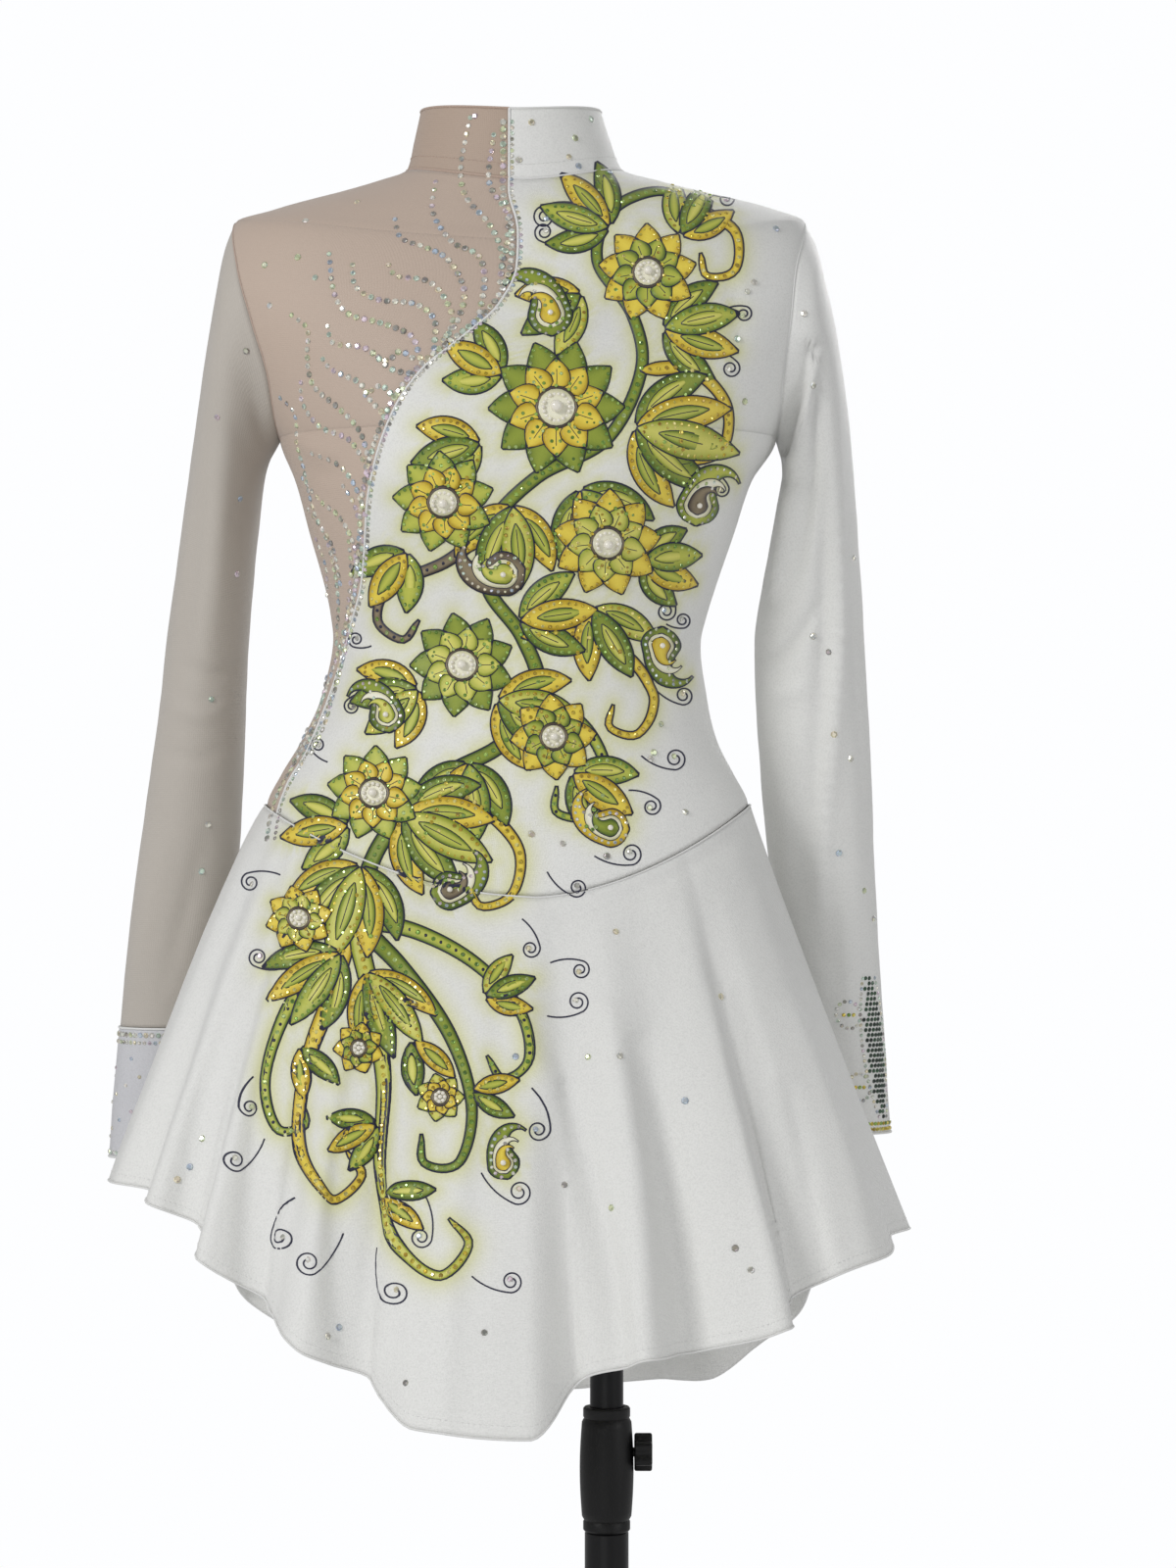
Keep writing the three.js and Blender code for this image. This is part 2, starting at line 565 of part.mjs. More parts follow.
// A lobed knob on a screw, along +X
function clampKnob() {
  const segments = 36;
  const shape = new THREE.Shape(steps(segments).slice(0, -1).map((turn) => {
    const angle = turn * 2 * Math.PI;
    const radius = KNOB.radius - KNOB.lobe + KNOB.lobe * Math.cos(KNOB.lobes * angle);
    return new THREE.Vector2(radius * Math.cos(angle), radius * Math.sin(angle));
  }));
  const bevel = 1.2;
  const head = new THREE.ExtrudeGeometry(shape, {
    depth: KNOB.outer - KNOB.inner - 2 * bevel,
    bevelEnabled: true,
    bevelSize: bevel,
    bevelOffset: -bevel,
    bevelThickness: bevel,
    bevelSegments: 1,
    curveSegments: 1,
  });
  head.rotateY(Math.PI / 2).translate(KNOB.inner + bevel, 0, CLAMP.height);
  const length = KNOB.inner + 1 - KNOB.stemEnd;
  const stem = new THREE.CylinderGeometry(KNOB.stemRadius, KNOB.stemRadius, length, 16);
  stem.rotateZ(Math.PI / 2).translate(KNOB.stemEnd + length / 2, 0, CLAMP.height);
  return fromManifold(asManifold(head).add(asManifold(stem)));
}

// ---------------------------------------------------------------- the zip's slider and pull

// The slider sits at the top of the zip, on the outside of the collar's back
const onZip = (side) => figurePoint(acrossAt(ZIP.x, side, BACK), side, BACK);
const zipTop = onZip(COLLAR_TOP - 8);
const zipSeat = onZip(COLLAR_TOP - 16); // the collar leans in above it
const sliderY = zipSeat.y + ZIP.slider[1] / 2 + SEAM_GAP;

function roundedBlock([width, depth, height], radius) {
  const shape = new THREE.Shape();
  const [w, h] = [width / 2 - radius, height / 2 - radius];
  shape.absarc(w, h, radius, 0, Math.PI / 2);
  shape.absarc(-w, h, radius, Math.PI / 2, Math.PI);
  shape.absarc(-w, -h, radius, Math.PI, 1.5 * Math.PI);
  shape.absarc(w, -h, radius, 1.5 * Math.PI, 2 * Math.PI);
  const block = new THREE.ExtrudeGeometry(shape, { depth, bevelEnabled: false, curveSegments: 3 });
  return block.translate(0, 0, -depth / 2).rotateX(Math.PI / 2);
}

const zipSlider = () => roundedBlock(ZIP.slider, 2).translate(zipTop.x, sliderY, zipTop.z);
const TAB_TOP = 2; // above the slider's middle
const zipPull = () => {
  const [, thick, length] = ZIP.tab;
  const y = sliderY + ZIP.slider[1] / 2 + SEAM_GAP + thick / 2;
  return roundedBlock(ZIP.tab, 2).translate(zipTop.x, y, zipTop.z + TAB_TOP - length / 2);
};

// ---------------------------------------------------------------- the scene graph

const material = (color, roughness, metalness = 0) => (
  new THREE.MeshStandardMaterial({ color, roughness, metalness, side: THREE.FrontSide })
);
const WHITE = material(0xf1efe9, 0.4);
const NUDE = material(0xba9f90, 0.7);
const NUDE_SLEEVE = material(0xc4b9b1, 0.7);
const FORM = material(0xe6e2da, 0.8);
const BLACK_METAL = material(0x17171a, 0.35, 0.6);
const BLACK_PLASTIC = material(0x101012, 0.5);
const ZIP_NYLON = material(0xf4f2ee, 0.5);
const ZIP_METAL = material(0xe8e6e2, 0.3, 0.8);

const dress = new THREE.Group();
const stand = new THREE.Group();
const add = (group, name, geometry, finish) => {
  const mesh = new THREE.Mesh(geometry, finish);
  mesh.name = name;
  group.add(mesh);
};

add(dress, 'front_left', frontLeft(), WHITE);
add(dress, 'front_right_mesh', frontRight(), NUDE);
add(dress, 'back_left', backLeft(), WHITE);
add(dress, 'back_right', backRight(), WHITE);
add(dress, 'collar_left', collar(1), WHITE);
add(dress, 'collar_right_mesh', collar(-1), NUDE);
add(dress, 'sleeve_left', sleeve(SLEEVE_LEFT, 1), WHITE);
add(dress, 'sleeve_right_mesh', sleeve(SLEEVE_RIGHT, -1), NUDE_SLEEVE);
add(dress, 'cuff_right', cuff(CUFF_RIGHT, -1), WHITE);
add(dress, 'skirt_front', skirt(FRONT), WHITE);
add(dress, 'skirt_back', skirt(BACK), WHITE);
add(dress, 'brief_front', brief(FRONT), WHITE);
add(dress, 'brief_back', brief(BACK), WHITE);
add(dress, 'zip_tape', zipTape(), ZIP_NYLON);
add(dress, 'zip_slider', zipSlider(), ZIP_METAL);
add(dress, 'zip_pull', zipPull(), ZIP_METAL);
add(dress, 'dress_form', dressForm(), FORM);
add(stand, 'pole', pole(), BLACK_METAL);
add(stand, 'clamp_collar', clampCollar(), BLACK_PLASTIC);
add(stand, 'clamp_knob', clampKnob(), BLACK_PLASTIC);
add(stand, 'outer_tube', outerTube(), BLACK_METAL);
add(stand, 'base_disc', baseDisc(), BLACK_METAL);

const object = new THREE.Group();
object.add(dress, stand);

export default object;
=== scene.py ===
"""The looks of a figure skating dress on its dress form.

Sizes are millimetres from the floor, with x from the dress's centre line towards the wearer's left, and
become metres from the pole's axis when a mesh is made.
"""

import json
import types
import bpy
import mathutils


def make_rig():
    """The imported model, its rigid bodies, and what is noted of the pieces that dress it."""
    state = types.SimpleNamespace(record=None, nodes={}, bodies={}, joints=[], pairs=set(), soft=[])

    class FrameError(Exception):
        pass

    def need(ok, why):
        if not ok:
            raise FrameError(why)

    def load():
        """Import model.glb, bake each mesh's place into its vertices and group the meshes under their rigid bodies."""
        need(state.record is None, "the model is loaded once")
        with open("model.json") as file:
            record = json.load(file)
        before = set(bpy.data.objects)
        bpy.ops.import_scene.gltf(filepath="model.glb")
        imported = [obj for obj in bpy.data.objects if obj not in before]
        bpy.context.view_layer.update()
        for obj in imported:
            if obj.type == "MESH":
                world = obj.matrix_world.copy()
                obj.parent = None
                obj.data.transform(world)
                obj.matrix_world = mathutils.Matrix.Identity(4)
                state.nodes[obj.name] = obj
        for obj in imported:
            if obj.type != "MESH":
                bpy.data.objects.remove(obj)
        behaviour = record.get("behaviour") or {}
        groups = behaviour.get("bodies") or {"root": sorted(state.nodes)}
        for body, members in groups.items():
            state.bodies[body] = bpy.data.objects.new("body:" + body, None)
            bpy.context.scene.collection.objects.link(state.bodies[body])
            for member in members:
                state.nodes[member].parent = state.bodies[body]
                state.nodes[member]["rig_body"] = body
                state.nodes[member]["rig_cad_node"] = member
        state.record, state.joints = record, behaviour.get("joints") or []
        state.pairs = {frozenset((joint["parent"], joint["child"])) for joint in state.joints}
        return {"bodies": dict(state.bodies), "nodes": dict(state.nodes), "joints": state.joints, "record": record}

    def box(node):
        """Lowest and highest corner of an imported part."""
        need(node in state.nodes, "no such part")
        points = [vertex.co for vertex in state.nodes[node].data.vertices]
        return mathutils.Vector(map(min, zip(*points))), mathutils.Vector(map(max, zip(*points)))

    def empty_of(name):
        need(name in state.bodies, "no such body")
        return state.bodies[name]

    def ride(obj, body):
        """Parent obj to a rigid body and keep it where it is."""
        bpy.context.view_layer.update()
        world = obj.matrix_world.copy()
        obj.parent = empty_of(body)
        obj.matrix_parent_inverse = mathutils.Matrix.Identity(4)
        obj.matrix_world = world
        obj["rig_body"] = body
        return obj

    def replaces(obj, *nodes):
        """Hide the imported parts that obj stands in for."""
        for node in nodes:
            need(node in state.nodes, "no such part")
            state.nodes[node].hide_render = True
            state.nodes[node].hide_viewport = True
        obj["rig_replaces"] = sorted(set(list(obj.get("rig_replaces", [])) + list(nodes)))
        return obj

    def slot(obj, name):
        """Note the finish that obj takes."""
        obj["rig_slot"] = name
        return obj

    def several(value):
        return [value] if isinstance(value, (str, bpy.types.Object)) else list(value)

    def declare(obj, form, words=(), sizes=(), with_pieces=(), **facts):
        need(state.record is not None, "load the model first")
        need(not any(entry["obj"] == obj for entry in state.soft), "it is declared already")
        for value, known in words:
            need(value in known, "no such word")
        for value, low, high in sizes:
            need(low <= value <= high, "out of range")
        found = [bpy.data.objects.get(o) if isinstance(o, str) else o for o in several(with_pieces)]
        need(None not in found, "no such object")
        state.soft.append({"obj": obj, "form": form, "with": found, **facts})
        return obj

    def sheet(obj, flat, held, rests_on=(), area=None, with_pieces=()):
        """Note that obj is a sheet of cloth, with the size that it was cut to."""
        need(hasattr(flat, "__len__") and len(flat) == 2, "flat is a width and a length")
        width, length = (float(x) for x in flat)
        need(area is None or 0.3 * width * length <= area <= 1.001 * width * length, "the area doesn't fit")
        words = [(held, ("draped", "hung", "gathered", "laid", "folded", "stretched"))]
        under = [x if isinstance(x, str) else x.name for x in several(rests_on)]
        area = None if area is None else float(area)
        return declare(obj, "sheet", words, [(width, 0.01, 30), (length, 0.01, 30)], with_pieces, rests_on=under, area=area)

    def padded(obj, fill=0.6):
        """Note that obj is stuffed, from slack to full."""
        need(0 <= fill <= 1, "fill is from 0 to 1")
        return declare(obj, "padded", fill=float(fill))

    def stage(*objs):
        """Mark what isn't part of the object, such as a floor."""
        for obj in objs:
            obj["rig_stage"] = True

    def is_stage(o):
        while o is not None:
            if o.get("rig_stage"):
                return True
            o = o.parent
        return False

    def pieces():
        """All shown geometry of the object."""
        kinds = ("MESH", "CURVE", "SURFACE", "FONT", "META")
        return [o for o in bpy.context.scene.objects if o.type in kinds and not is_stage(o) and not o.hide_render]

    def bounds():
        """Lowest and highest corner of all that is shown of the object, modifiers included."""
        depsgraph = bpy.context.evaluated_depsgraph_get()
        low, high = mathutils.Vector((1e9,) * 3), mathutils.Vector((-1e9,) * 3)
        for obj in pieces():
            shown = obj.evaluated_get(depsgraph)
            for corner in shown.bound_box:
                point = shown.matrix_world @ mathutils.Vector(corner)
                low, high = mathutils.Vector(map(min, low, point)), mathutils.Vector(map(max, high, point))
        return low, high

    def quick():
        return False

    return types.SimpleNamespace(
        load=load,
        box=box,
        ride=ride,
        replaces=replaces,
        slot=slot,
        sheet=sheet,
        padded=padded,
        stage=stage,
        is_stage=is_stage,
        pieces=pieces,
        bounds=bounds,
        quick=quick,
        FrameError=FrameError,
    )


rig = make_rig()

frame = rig.load()

import json
import logging
import math
from dataclasses import dataclass, field
from enum import Enum
from functools import lru_cache
from typing import Any, Callable, Sequence

import bmesh
import bpy
import numpy as np
from mathutils import Matrix, Vector, noise
from mathutils.bvhtree import BVHTree
from mathutils.interpolate import poly_3d_calc
from mathutils.kdtree import KDTree

CAD_BOX = [list(corner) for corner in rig.bounds()]
LOG = logging.getLogger("dress")
Array = np.ndarray
Material, Mesh, Piece = bpy.types.Material, bpy.types.Mesh, bpy.types.Object
BMesh = bmesh.types.BMesh
Plane = tuple[float, float]
Colour = tuple[float, float, float]

MM = 0.001
DRESS_X = -58.0  # the dress's centre line stands this far from the pole's axis
CLOTH = 1.2
SEAM_GAP = 0.3
EASE = 1.5
FINE = 0.4 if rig.quick() else 1.0  # share of the full number of columns and rows

# Heights where the side, the shoulder line or the collar passes them
SEAM = 973.0
ZIP_END = 1077.0
UNDERARM = 1205.0
SHOULDER = 1343.0
NECK = 1376.0
FORM_TOP = 1395.0
COLLAR_TOP = 1414.0
ARM_DEPTH = 57.0
BUST = {"height": 1186, "apart": 72, "reach": 46, "rise": 7}
WAIST_POINT = 0.06
SEAM_CURVE = 1.6
SHOULDER_BEND = 4.0  # reach of the softening over the rings' bend at the shoulder point
CROTCH = 786.0
LEG_TOP = 886.0
ZIP_GAP = 3.3  # from the centre line to the cloth beside the zip
ZIP_TAPE = 3.0  # half the tape's width
BRIEF_DROP = 2.0

# The eye's place, and how high a part of the dress's plane the camera's frame shows
EYE = (46.1, -2600.0, 986.0)
VIEW_HEIGHT = 1000.0
SENSOR = 36.0


class Face(Enum):
    """The dress's front or back, by the sign of y."""

    FRONT = -1
    BACK = 1


class Side(Enum):
    """The wearer's right or left, by the sign of x."""

    RIGHT = -1
    LEFT = 1


# ---------------------------------------------------------------- smooth tables


def value(word: str) -> Any:
    """A word of a table as a number, whole where it has no point, or as the word itself."""
    for kind in (int, float):
        try:
            return kind(word)
        except ValueError:
            continue
    return word


def rows_of(text: str, width: int = 0) -> list[list[Any]]:
    """The rows of a table in writing, each of a width, or else parted by strokes."""
    if width:
        words = [value(word) for word in text.split()]
        return [words[i:i + width] for i in range(0, len(words), width)]
    return [[value(word) for word in row.split()] for row in text.split("/")]


def pairs(numbers: Sequence[float]) -> list[Plane]:
    """Numbers two by two."""
    return list(zip(numbers[::2], numbers[1::2]))


def smooth(knots: Array, values: Array, at: Array | float) -> Array:
    """A curve through the values that never overshoots them.

    Args:
        knots: Rising places, one for each row of values.
        values: The rows that the curve passes through.
        at: Places to read the curve at.

    Returns:
        A row for each place.
    """
    knots, values = np.asarray(knots, float), np.asarray(values, float)
    where = np.clip(np.atleast_1d(np.asarray(at, float)), knots[0], knots[-1])
    wide = (-1,) + (1,) * (values.ndim - 1)
    span = np.diff(knots)
    slope = np.diff(values, axis=0) / span.reshape(wide)
    tangent = np.zeros_like(values)
    tangent[0], tangent[-1] = slope[0], slope[-1]
    turning = slope[:-1] * slope[1:] <= 0
    total = np.where(turning, 1, slope[:-1] + slope[1:])
    tangent[1:-1] = np.where(turning, 0, 2 * slope[:-1] * slope[1:] / total)
    i = np.clip(np.searchsorted(knots, where, side="left") - 1, 0, len(span) - 1)
    t = ((where - knots[i]) / span[i]).reshape(wide)
    rise = values[i + 1] - values[i]
    start = tangent[i] * span[i].reshape(wide)
    end = tangent[i + 1] * span[i].reshape(wide)
    return values[i] + t * (start + t * (3 * rise - 2 * start - end + t * (start + end - 2 * rise)))


class Table:
    """Rows of numbers under named columns, read as smooth curves along the first column."""

    def __init__(self, columns: str, text: str) -> None:
        """Reads the columns' names and the numbers, row by row, from writing."""
        self.columns = columns.split()
        self.rows = rows_of(text, len(self.columns))

    def column(self, name: str) -> Array:
        """All the numbers under a name."""
        return np.array([row[self.columns.index(name)] for row in self.rows], float)

    def read(self, name: str, at: Array | float) -> Array:
        """The named column's curve at places along the first column."""
        return smooth(self.column(self.columns[0]), self.column(name), at)

    def between(self, low: float, high: float) -> list[float]:
        """The first column's own numbers from low to high."""
        return [float(x) for x in self.column(self.columns[0]) if low <= x <= high]


# The figure from the crotch to the top of the collar: the height at the side, the heights of the same
# ring at the middle of the front and back, half its width, its depths in front and behind, how square
# the section is (2 is an ellipse), and its shift to the wearer's left
FIGURE = Table("side front back half front_depth back_depth square shift", """
786 786 786 34 0 0 2 -7  789 789 789 62 24 28 2 -7  796 796 796 92 46 54 2.1 -7
808 808 808 120 68 78 2.2 -7  826 824 824 141 86 97 2.3 -7  852 845 848 153 99 108 2.3 -7
886 866 876 158 104 113 2.3 -7  930 890 905 156 105 112 2.3 -7  973 917 936 153 103 106 2.3 -5
992 950 962 144 100 99 2.3 -5  1013 984 990 132.5 97 93 2.3 -4  1040 1022 1024 123 93 87 2.2 -1
1077 1068 1068 117 90 83 2.2 1  1093 1088 1087 119.6 93 84.2 2.2 2.1  1110 1108 1106 124 97 86 2.2 3
1145 1147 1144 135 109 92 2.2 4  1178 1180 1178 145 117 96 2.2 5  1205 1205 1206 158 117 98 2.2 8
1240 1236 1240 161 112 100 2.3 7  1274 1266 1274 168 104 99 2.3 4.5  1310 1295 1309 175 93 93 2.3 1.5
1343 1322 1340 181 82 84 2.3 3  1350 1331 1349 163 77 79 2.2 6  1357 1340 1358 139 73 74 2.1 6
1363 1348 1367 114 69 69 2 4  1370 1356 1376 88 65 65 2 2  1376 1363 1384 69 62 61 2 -0.5
1395 1385 1402 62.5 57.5 58 2 -2  1414 1408 1420 57.5 55 56 2 -3
""")

# The edge between the mesh and the white cloth on the front
MESH_EDGE = Table("height x", """
917 -152  960 -150  985 -143  1005 -131  1022 -124  1040 -117  1063 -109  1086 -102  1109 -95  1133 -92
1157 -90  1185 -84  1214 -73  1239 -56  1258 -33  1280 -9  1304 2  1328 3  1356 -3  1420 -3
""")

# The brief's leg openings: how far the cloth reaches from the middle at each ring
LEG = Table("side front back", """
786 34 34  789 40 47  796 50 70  808 68 96  826 92 120  852 123 141  866 139 150  876 150.5 155
882 156.6 157.5  886 158 158
""")

# The skirt's hem: an ellipse with folds, by the angle from the middle towards the wearer's left
HEM = {"half": 253, "front": 205, "back": 212, "shift": -1.5}
FOLDS = {
    Face.FRONT: Table("angle reach height", """
-90 0 735  -73 7 738  -65 -9 735  -58 8 730  -51 -14 716  -45 9 699  -37 -15 675  -28 12 651  -20 -16 633
-12 12 608  3 16 603  10 -20 630  19 6 646  27 -12 648  39 12 660  45 -17 673  52 5 690  61 11 697
74 -6 705  90 0 703
"""),
    Face.BACK: Table("angle reach height", """
-90 0 735  -78 -16 722  -66 -30 702  -54 -12 674  -44 6 634  -34 -14 608  -23 12 592  -11 -15 577
0 10 569  10 -14 572  22 12 577  33 -15 583  40 0 605  46 8 626  54 -8 654  66 -30 674  78 -14 692
90 0 703
"""),
}

# The sleeves below the armhole, a ring a row
RING = "outer outer_height inner inner_height behind depth swell"
SLEEVES = {
    Side.LEFT: Table(RING, """
192 1327 168 1199 2 57 3  198.5 1301 170 1192 4 56 4  205 1270 170.5 1184 7 54 4
210 1240 169 1174 10 51 3  214 1208 166.5 1161 14 48 2  218 1168 163 1141 18 45 1
221 1126 158 1112 23 41 0  224 1084 153.5 1078 29 38 0  227 1042 154.5 1042 35 37 0
229.5 995 157.5 995 42 35 0  232 944 162.5 944 51 32.5 0  236 882 171 882 64 29.5 0
241 818 181 818 78 26 0  246 757 191 757 90 23.5 0
"""),
    Side.RIGHT: Table(RING, """
184 1328 153.5 1199 2 57 7  189 1301 157 1193 4 56 9  195 1269 160 1184 7 54 9
200.5 1238 162 1173 10 51 7  206 1205 164 1160 14 48 5  212 1167 166.5 1140 18 45 3
218 1126 169.5 1112 23 41 1  225 1082 172.5 1076 29 38 0  230 1038 175 1038 35 36 0
237 994 177 994 42 34.5 0  246 938 181 938 52 32 0  254.5 880 190 880 64 29.5 0  261 827 200 827 76 27 0
"""),
}
CUFF = Table(RING, """
261.5 826.7 199.5 826.7 76 27.6 0  266 784 206 784 83 26 0  270 741 212.5 741 90 25 0
""")


# ---------------------------------------------------------------- the dress's surfaces


class Figure:
    """The dress's outer surface from the crotch to the top of the collar."""

    @staticmethod
    @lru_cache(maxsize=None)
    def section(side: float) -> dict[str, float]:
        """The figure's measures at a side height."""
        return {name: float(FIGURE.read(name, side)[0]) for name in FIGURE.columns[1:]}

    @staticmethod
    def armhole_depth(side: float) -> float:
        """Half the armhole's depth at a side height."""
        rise = 2 * (side - UNDERARM) / (SHOULDER - UNDERARM) - 1
        return ARM_DEPTH * math.sqrt(1 - rise * rise) if abs(rise) < 1 else 0.0

    @classmethod
    def points(cls, across: Array | float, side: float, face: Face) -> Array:
        """Points of a ring, from the wearer's right at -1 to the left at 1.

        Args:
            across: Places over the panel.
            side: The ring's height at the side.
            face: The front or back.

        Returns:
            A row of x, y and z for each place.
        """
        across = np.atleast_1d(np.asarray(across, float))
        cut = cls.section(side)
        front = face is Face.FRONT
        depth, middle = (cut["front_depth"], cut["front"]) if front else (cut["back_depth"], cut["back"])
        power = 2 / cut["square"]
        edge = math.pi / 2
        if depth > 0:
            edge = math.acos(min(cls.armhole_depth(side) / depth, 1) ** (1 / power))
        angle = np.abs(across) * edge
        x = np.sign(across) * cut["half"] * np.sin(angle) ** power / math.sin(edge) ** power
        point = WAIST_POINT if front else 0
        off = (across - point) / (1 - point * np.sign(across - point))
        z = middle + (side - middle) * np.abs(np.sin(off * math.pi / 2)) ** SEAM_CURVE
        y = depth * np.maximum(np.cos(angle), 0) ** power
        if front:
            apart = (np.abs(x) - BUST["apart"]) / BUST["reach"]
            above = (z - BUST["height"]) / BUST["reach"]
            y = y + BUST["rise"] * np.exp(-apart * apart - above * above) * np.cos(angle)
        return np.stack([cut["shift"] + x, face.value * (y + SEAM_GAP / 2), z], axis=-1)

    @classmethod
    def normals(cls, across: Array | float, side: float, face: Face) -> Array:
        """The surface's outward directions at points of a ring."""
        across = np.atleast_1d(np.asarray(across, float))
        step = 2.0
        right = cls.points(np.minimum(across + 0.02, 1), side, face)
        left = cls.points(np.maximum(across - 0.02, -1), side, face)
        above = cls.points(across, min(side + step, COLLAR_TOP), face)
        below = cls.points(across, side - step, face)
        return unit(np.cross(right - left, above - below) * -face.value)

    @classmethod
    def across_at(cls, distance: float | Callable[[float], float], side: float, face: Face) -> float:
        """Where a ring passes a distance from the centre line.

        Args:
            distance: The distance, or a function that gives it for a height.
            side: The ring's height at the side.
            face: The front or back.

        Returns:
            The place across, from -1 to 1.
        """
        across = np.linspace(-1, 1, 257)
        ring = cls.points(across, side, face)
        wanted = distance(ring[:, 2]) if callable(distance) else distance
        gap = ring[:, 0] - wanted
        passed = np.nonzero(gap >= 0)[0]
        if not len(passed):
            return 1.0
        i = passed[0]
        if i == 0:
            return -1.0
        return float(across[i] - (across[i] - across[i - 1]) * gap[i] / (gap[i] - gap[i - 1]))


def mesh_edge(side: float) -> float:
    """Where across a front ring the mesh meets the white cloth."""
    return Figure.across_at(lambda height: MESH_EDGE.read("x", height), side, Face.FRONT)


def zip_edge(side: float, direction: int) -> float:
    """Where across a back ring the cloth ends, beside the zip above its end."""
    gap = ZIP_GAP if side >= ZIP_END else 0.0
    return Figure.across_at(direction * gap, side, Face.BACK)


def spread(low: float, high: float, step: float) -> list[float]:
    count = max(2, round((high - low) / step * FINE))
    return [float(x) for x in np.linspace(low, high, count + 1)]


def arm_rings(step: float) -> list[float]:
    """Side heights over the armhole, close together at its ends."""
    turns = np.array(spread(0, 1, step / (SHOULDER - UNDERARM)))
    return [float(x) for x in UNDERARM + (SHOULDER - UNDERARM) * (1 - np.cos(turns * math.pi)) / 2]


def bodice_rings(step: float) -> list[float]:
    """Side heights from the waist seam to the neck."""
    top = spread(SHOULDER, SHOULDER + 7, step / 3)[1:] + spread(SHOULDER + 7, NECK, step)[1:]
    return spread(SEAM, UNDERARM, step)[:-1] + arm_rings(step * 0.8) + top


def columns(count: int) -> int:
    return max(4, round(count * FINE))


def panel(sides: Sequence[float], face: Face, count: int, edges: Callable[[float], Plane]) -> Array:
    """A panel of the figure's surface, with a row at each side height between the edges there."""
    return np.array([Figure.points(np.linspace(*edges(side), count + 1), side, face) for side in sides])


def soft_shoulder(points: Array, sides: Sequence[float]) -> Array:
    """A bodice panel with the bend over its rings at the shoulder point softened.

    Args:
        points: Rows of points, one row for each side height.
        sides: The rows' side heights.

    Returns:
        The rows, as they were at the armhole and far from the shoulder point.
    """
    heights = np.asarray(sides, float)
    near = np.exp(-(((heights[:, None] - heights[None, :]) / SHOULDER_BEND) ** 2)) * np.gradient(heights)
    softer = np.einsum("ij,jkl->ikl", near / near.sum(axis=1, keepdims=True), points)
    cuts = [Figure.section(side) for side in sides]
    half, shift = (np.array([cut[name] for cut in cuts])[:, None] for name in ("half", "shift"))
    inside = np.clip((1 - np.abs(points[..., 0] - shift) / half) * 10, 0, 1)
    close = np.clip(2 - np.abs(heights - SHOULDER) / (2 * SHOULDER_BEND), 0, 1)[:, None]
    share = inside * close
    return points + (softer - points) * (share * share * (3 - 2 * share))[..., None]


def skirt_points(face: Face, across: Array, down: Array, folded: bool = True) -> Array:
    """The skirt's surface.

    Args:
        face: The front or back panel.
        across: Places from the wearer's right side seam at -1 to the left at 1.
        down: Places from the seam at 0 to the hem at 1.
        folded: False for the same skirt with its folds smoothed out.

    Returns:
        Rows of points, one row for each place down.
    """
    angle = across * math.pi / 2
    reach = FOLDS[face].read("reach", across * 90) * folded
    height = FOLDS[face].read("height", across * 90)
    seam = Figure.points(across, SEAM, face)
    seam = seam + Figure.normals(across, SEAM, face) * (CLOTH + SEAM_GAP)
    seam[:, 2] = Figure.points(across, SEAM, face)[:, 2] - SEAM_GAP
    depth = HEM["front"] if face is Face.FRONT else HEM["back"]
    out = unit(np.stack([np.sin(angle) / HEM["half"], face.value * np.cos(angle) / depth], axis=-1))
    bell = 0.95 + 0.1 * np.sin(angle)
    rows = []
    for t in down:
        flare = t ** bell
        fold = reach * t ** 1.15
        hem_x = HEM["shift"] + HEM["half"] * np.sin(angle)
        hem_y = face.value * (depth * np.cos(angle) + SEAM_GAP / 2)
        rows.append(np.stack([
            seam[:, 0] + (hem_x - seam[:, 0]) * flare + out[:, 0] * fold,
            seam[:, 1] + (hem_y - seam[:, 1]) * flare + out[:, 1] * fold,
            seam[:, 2] + (height - seam[:, 2]) * t,
        ], axis=-1))
    return np.array(rows)


def armhole_ring(side: Side, count: int) -> Array:
    """The armhole's edge, from the shoulder down the front and up the back."""
    ring = []
    for turn in np.arange(count) / count * 2 * math.pi:
        height = UNDERARM + (SHOULDER - UNDERARM) * (1 + math.cos(turn)) / 2
        face = Face.FRONT if turn < math.pi else Face.BACK
        point = Figure.points(side.value, height, face)[0]
        ring.append(point)
    ring = np.array(ring)
    ring[0, 1] = ring[count // 2, 1] = 0
    return ring


def sleeve_rings(table: Table, side: Side, count: int) -> Array:
    """The sleeve's rings below the armhole, at the table's own rows."""
    turn = np.arange(count) / count * 2 * math.pi
    cos, sin = np.cos(turn), np.sin(turn)
    rings = []
    for outer, outer_height, inner, inner_height, behind, depth, swell in table.rows:
        along = inner + (outer - inner) * (1 + cos) / 2 + swell * sin * sin
        height = inner_height + (outer_height - inner_height) * (1 + cos) / 2
        rings.append(np.stack([side.value * along, behind - depth * sin, height], axis=-1))
    return np.array(rings)


def loft(rings: Array, step: float) -> Array:
    """More rings between the given ones, on smooth curves through them."""
    knots = lengths(rings.mean(axis=1))
    return smooth(knots, rings, np.array(spread(0, knots[-1], step)))


def unit(vectors: Array) -> Array:
    """Directions, each at a length of one."""
    return vectors / np.maximum(np.linalg.norm(vectors, axis=-1, keepdims=True), 1e-9)


def lengths(line: Array) -> Array:
    """How far along a line each of its points lies."""
    return np.concatenate([[0], np.cumsum(np.linalg.norm(np.diff(line, axis=0), axis=1))])


def read_at(at: Array | float, along: Array, rows: Array) -> Array:
    """Rows read between their places along a line."""
    return np.stack([np.interp(at, along, rows[:, k]) for k in range(rows.shape[1])], axis=-1)


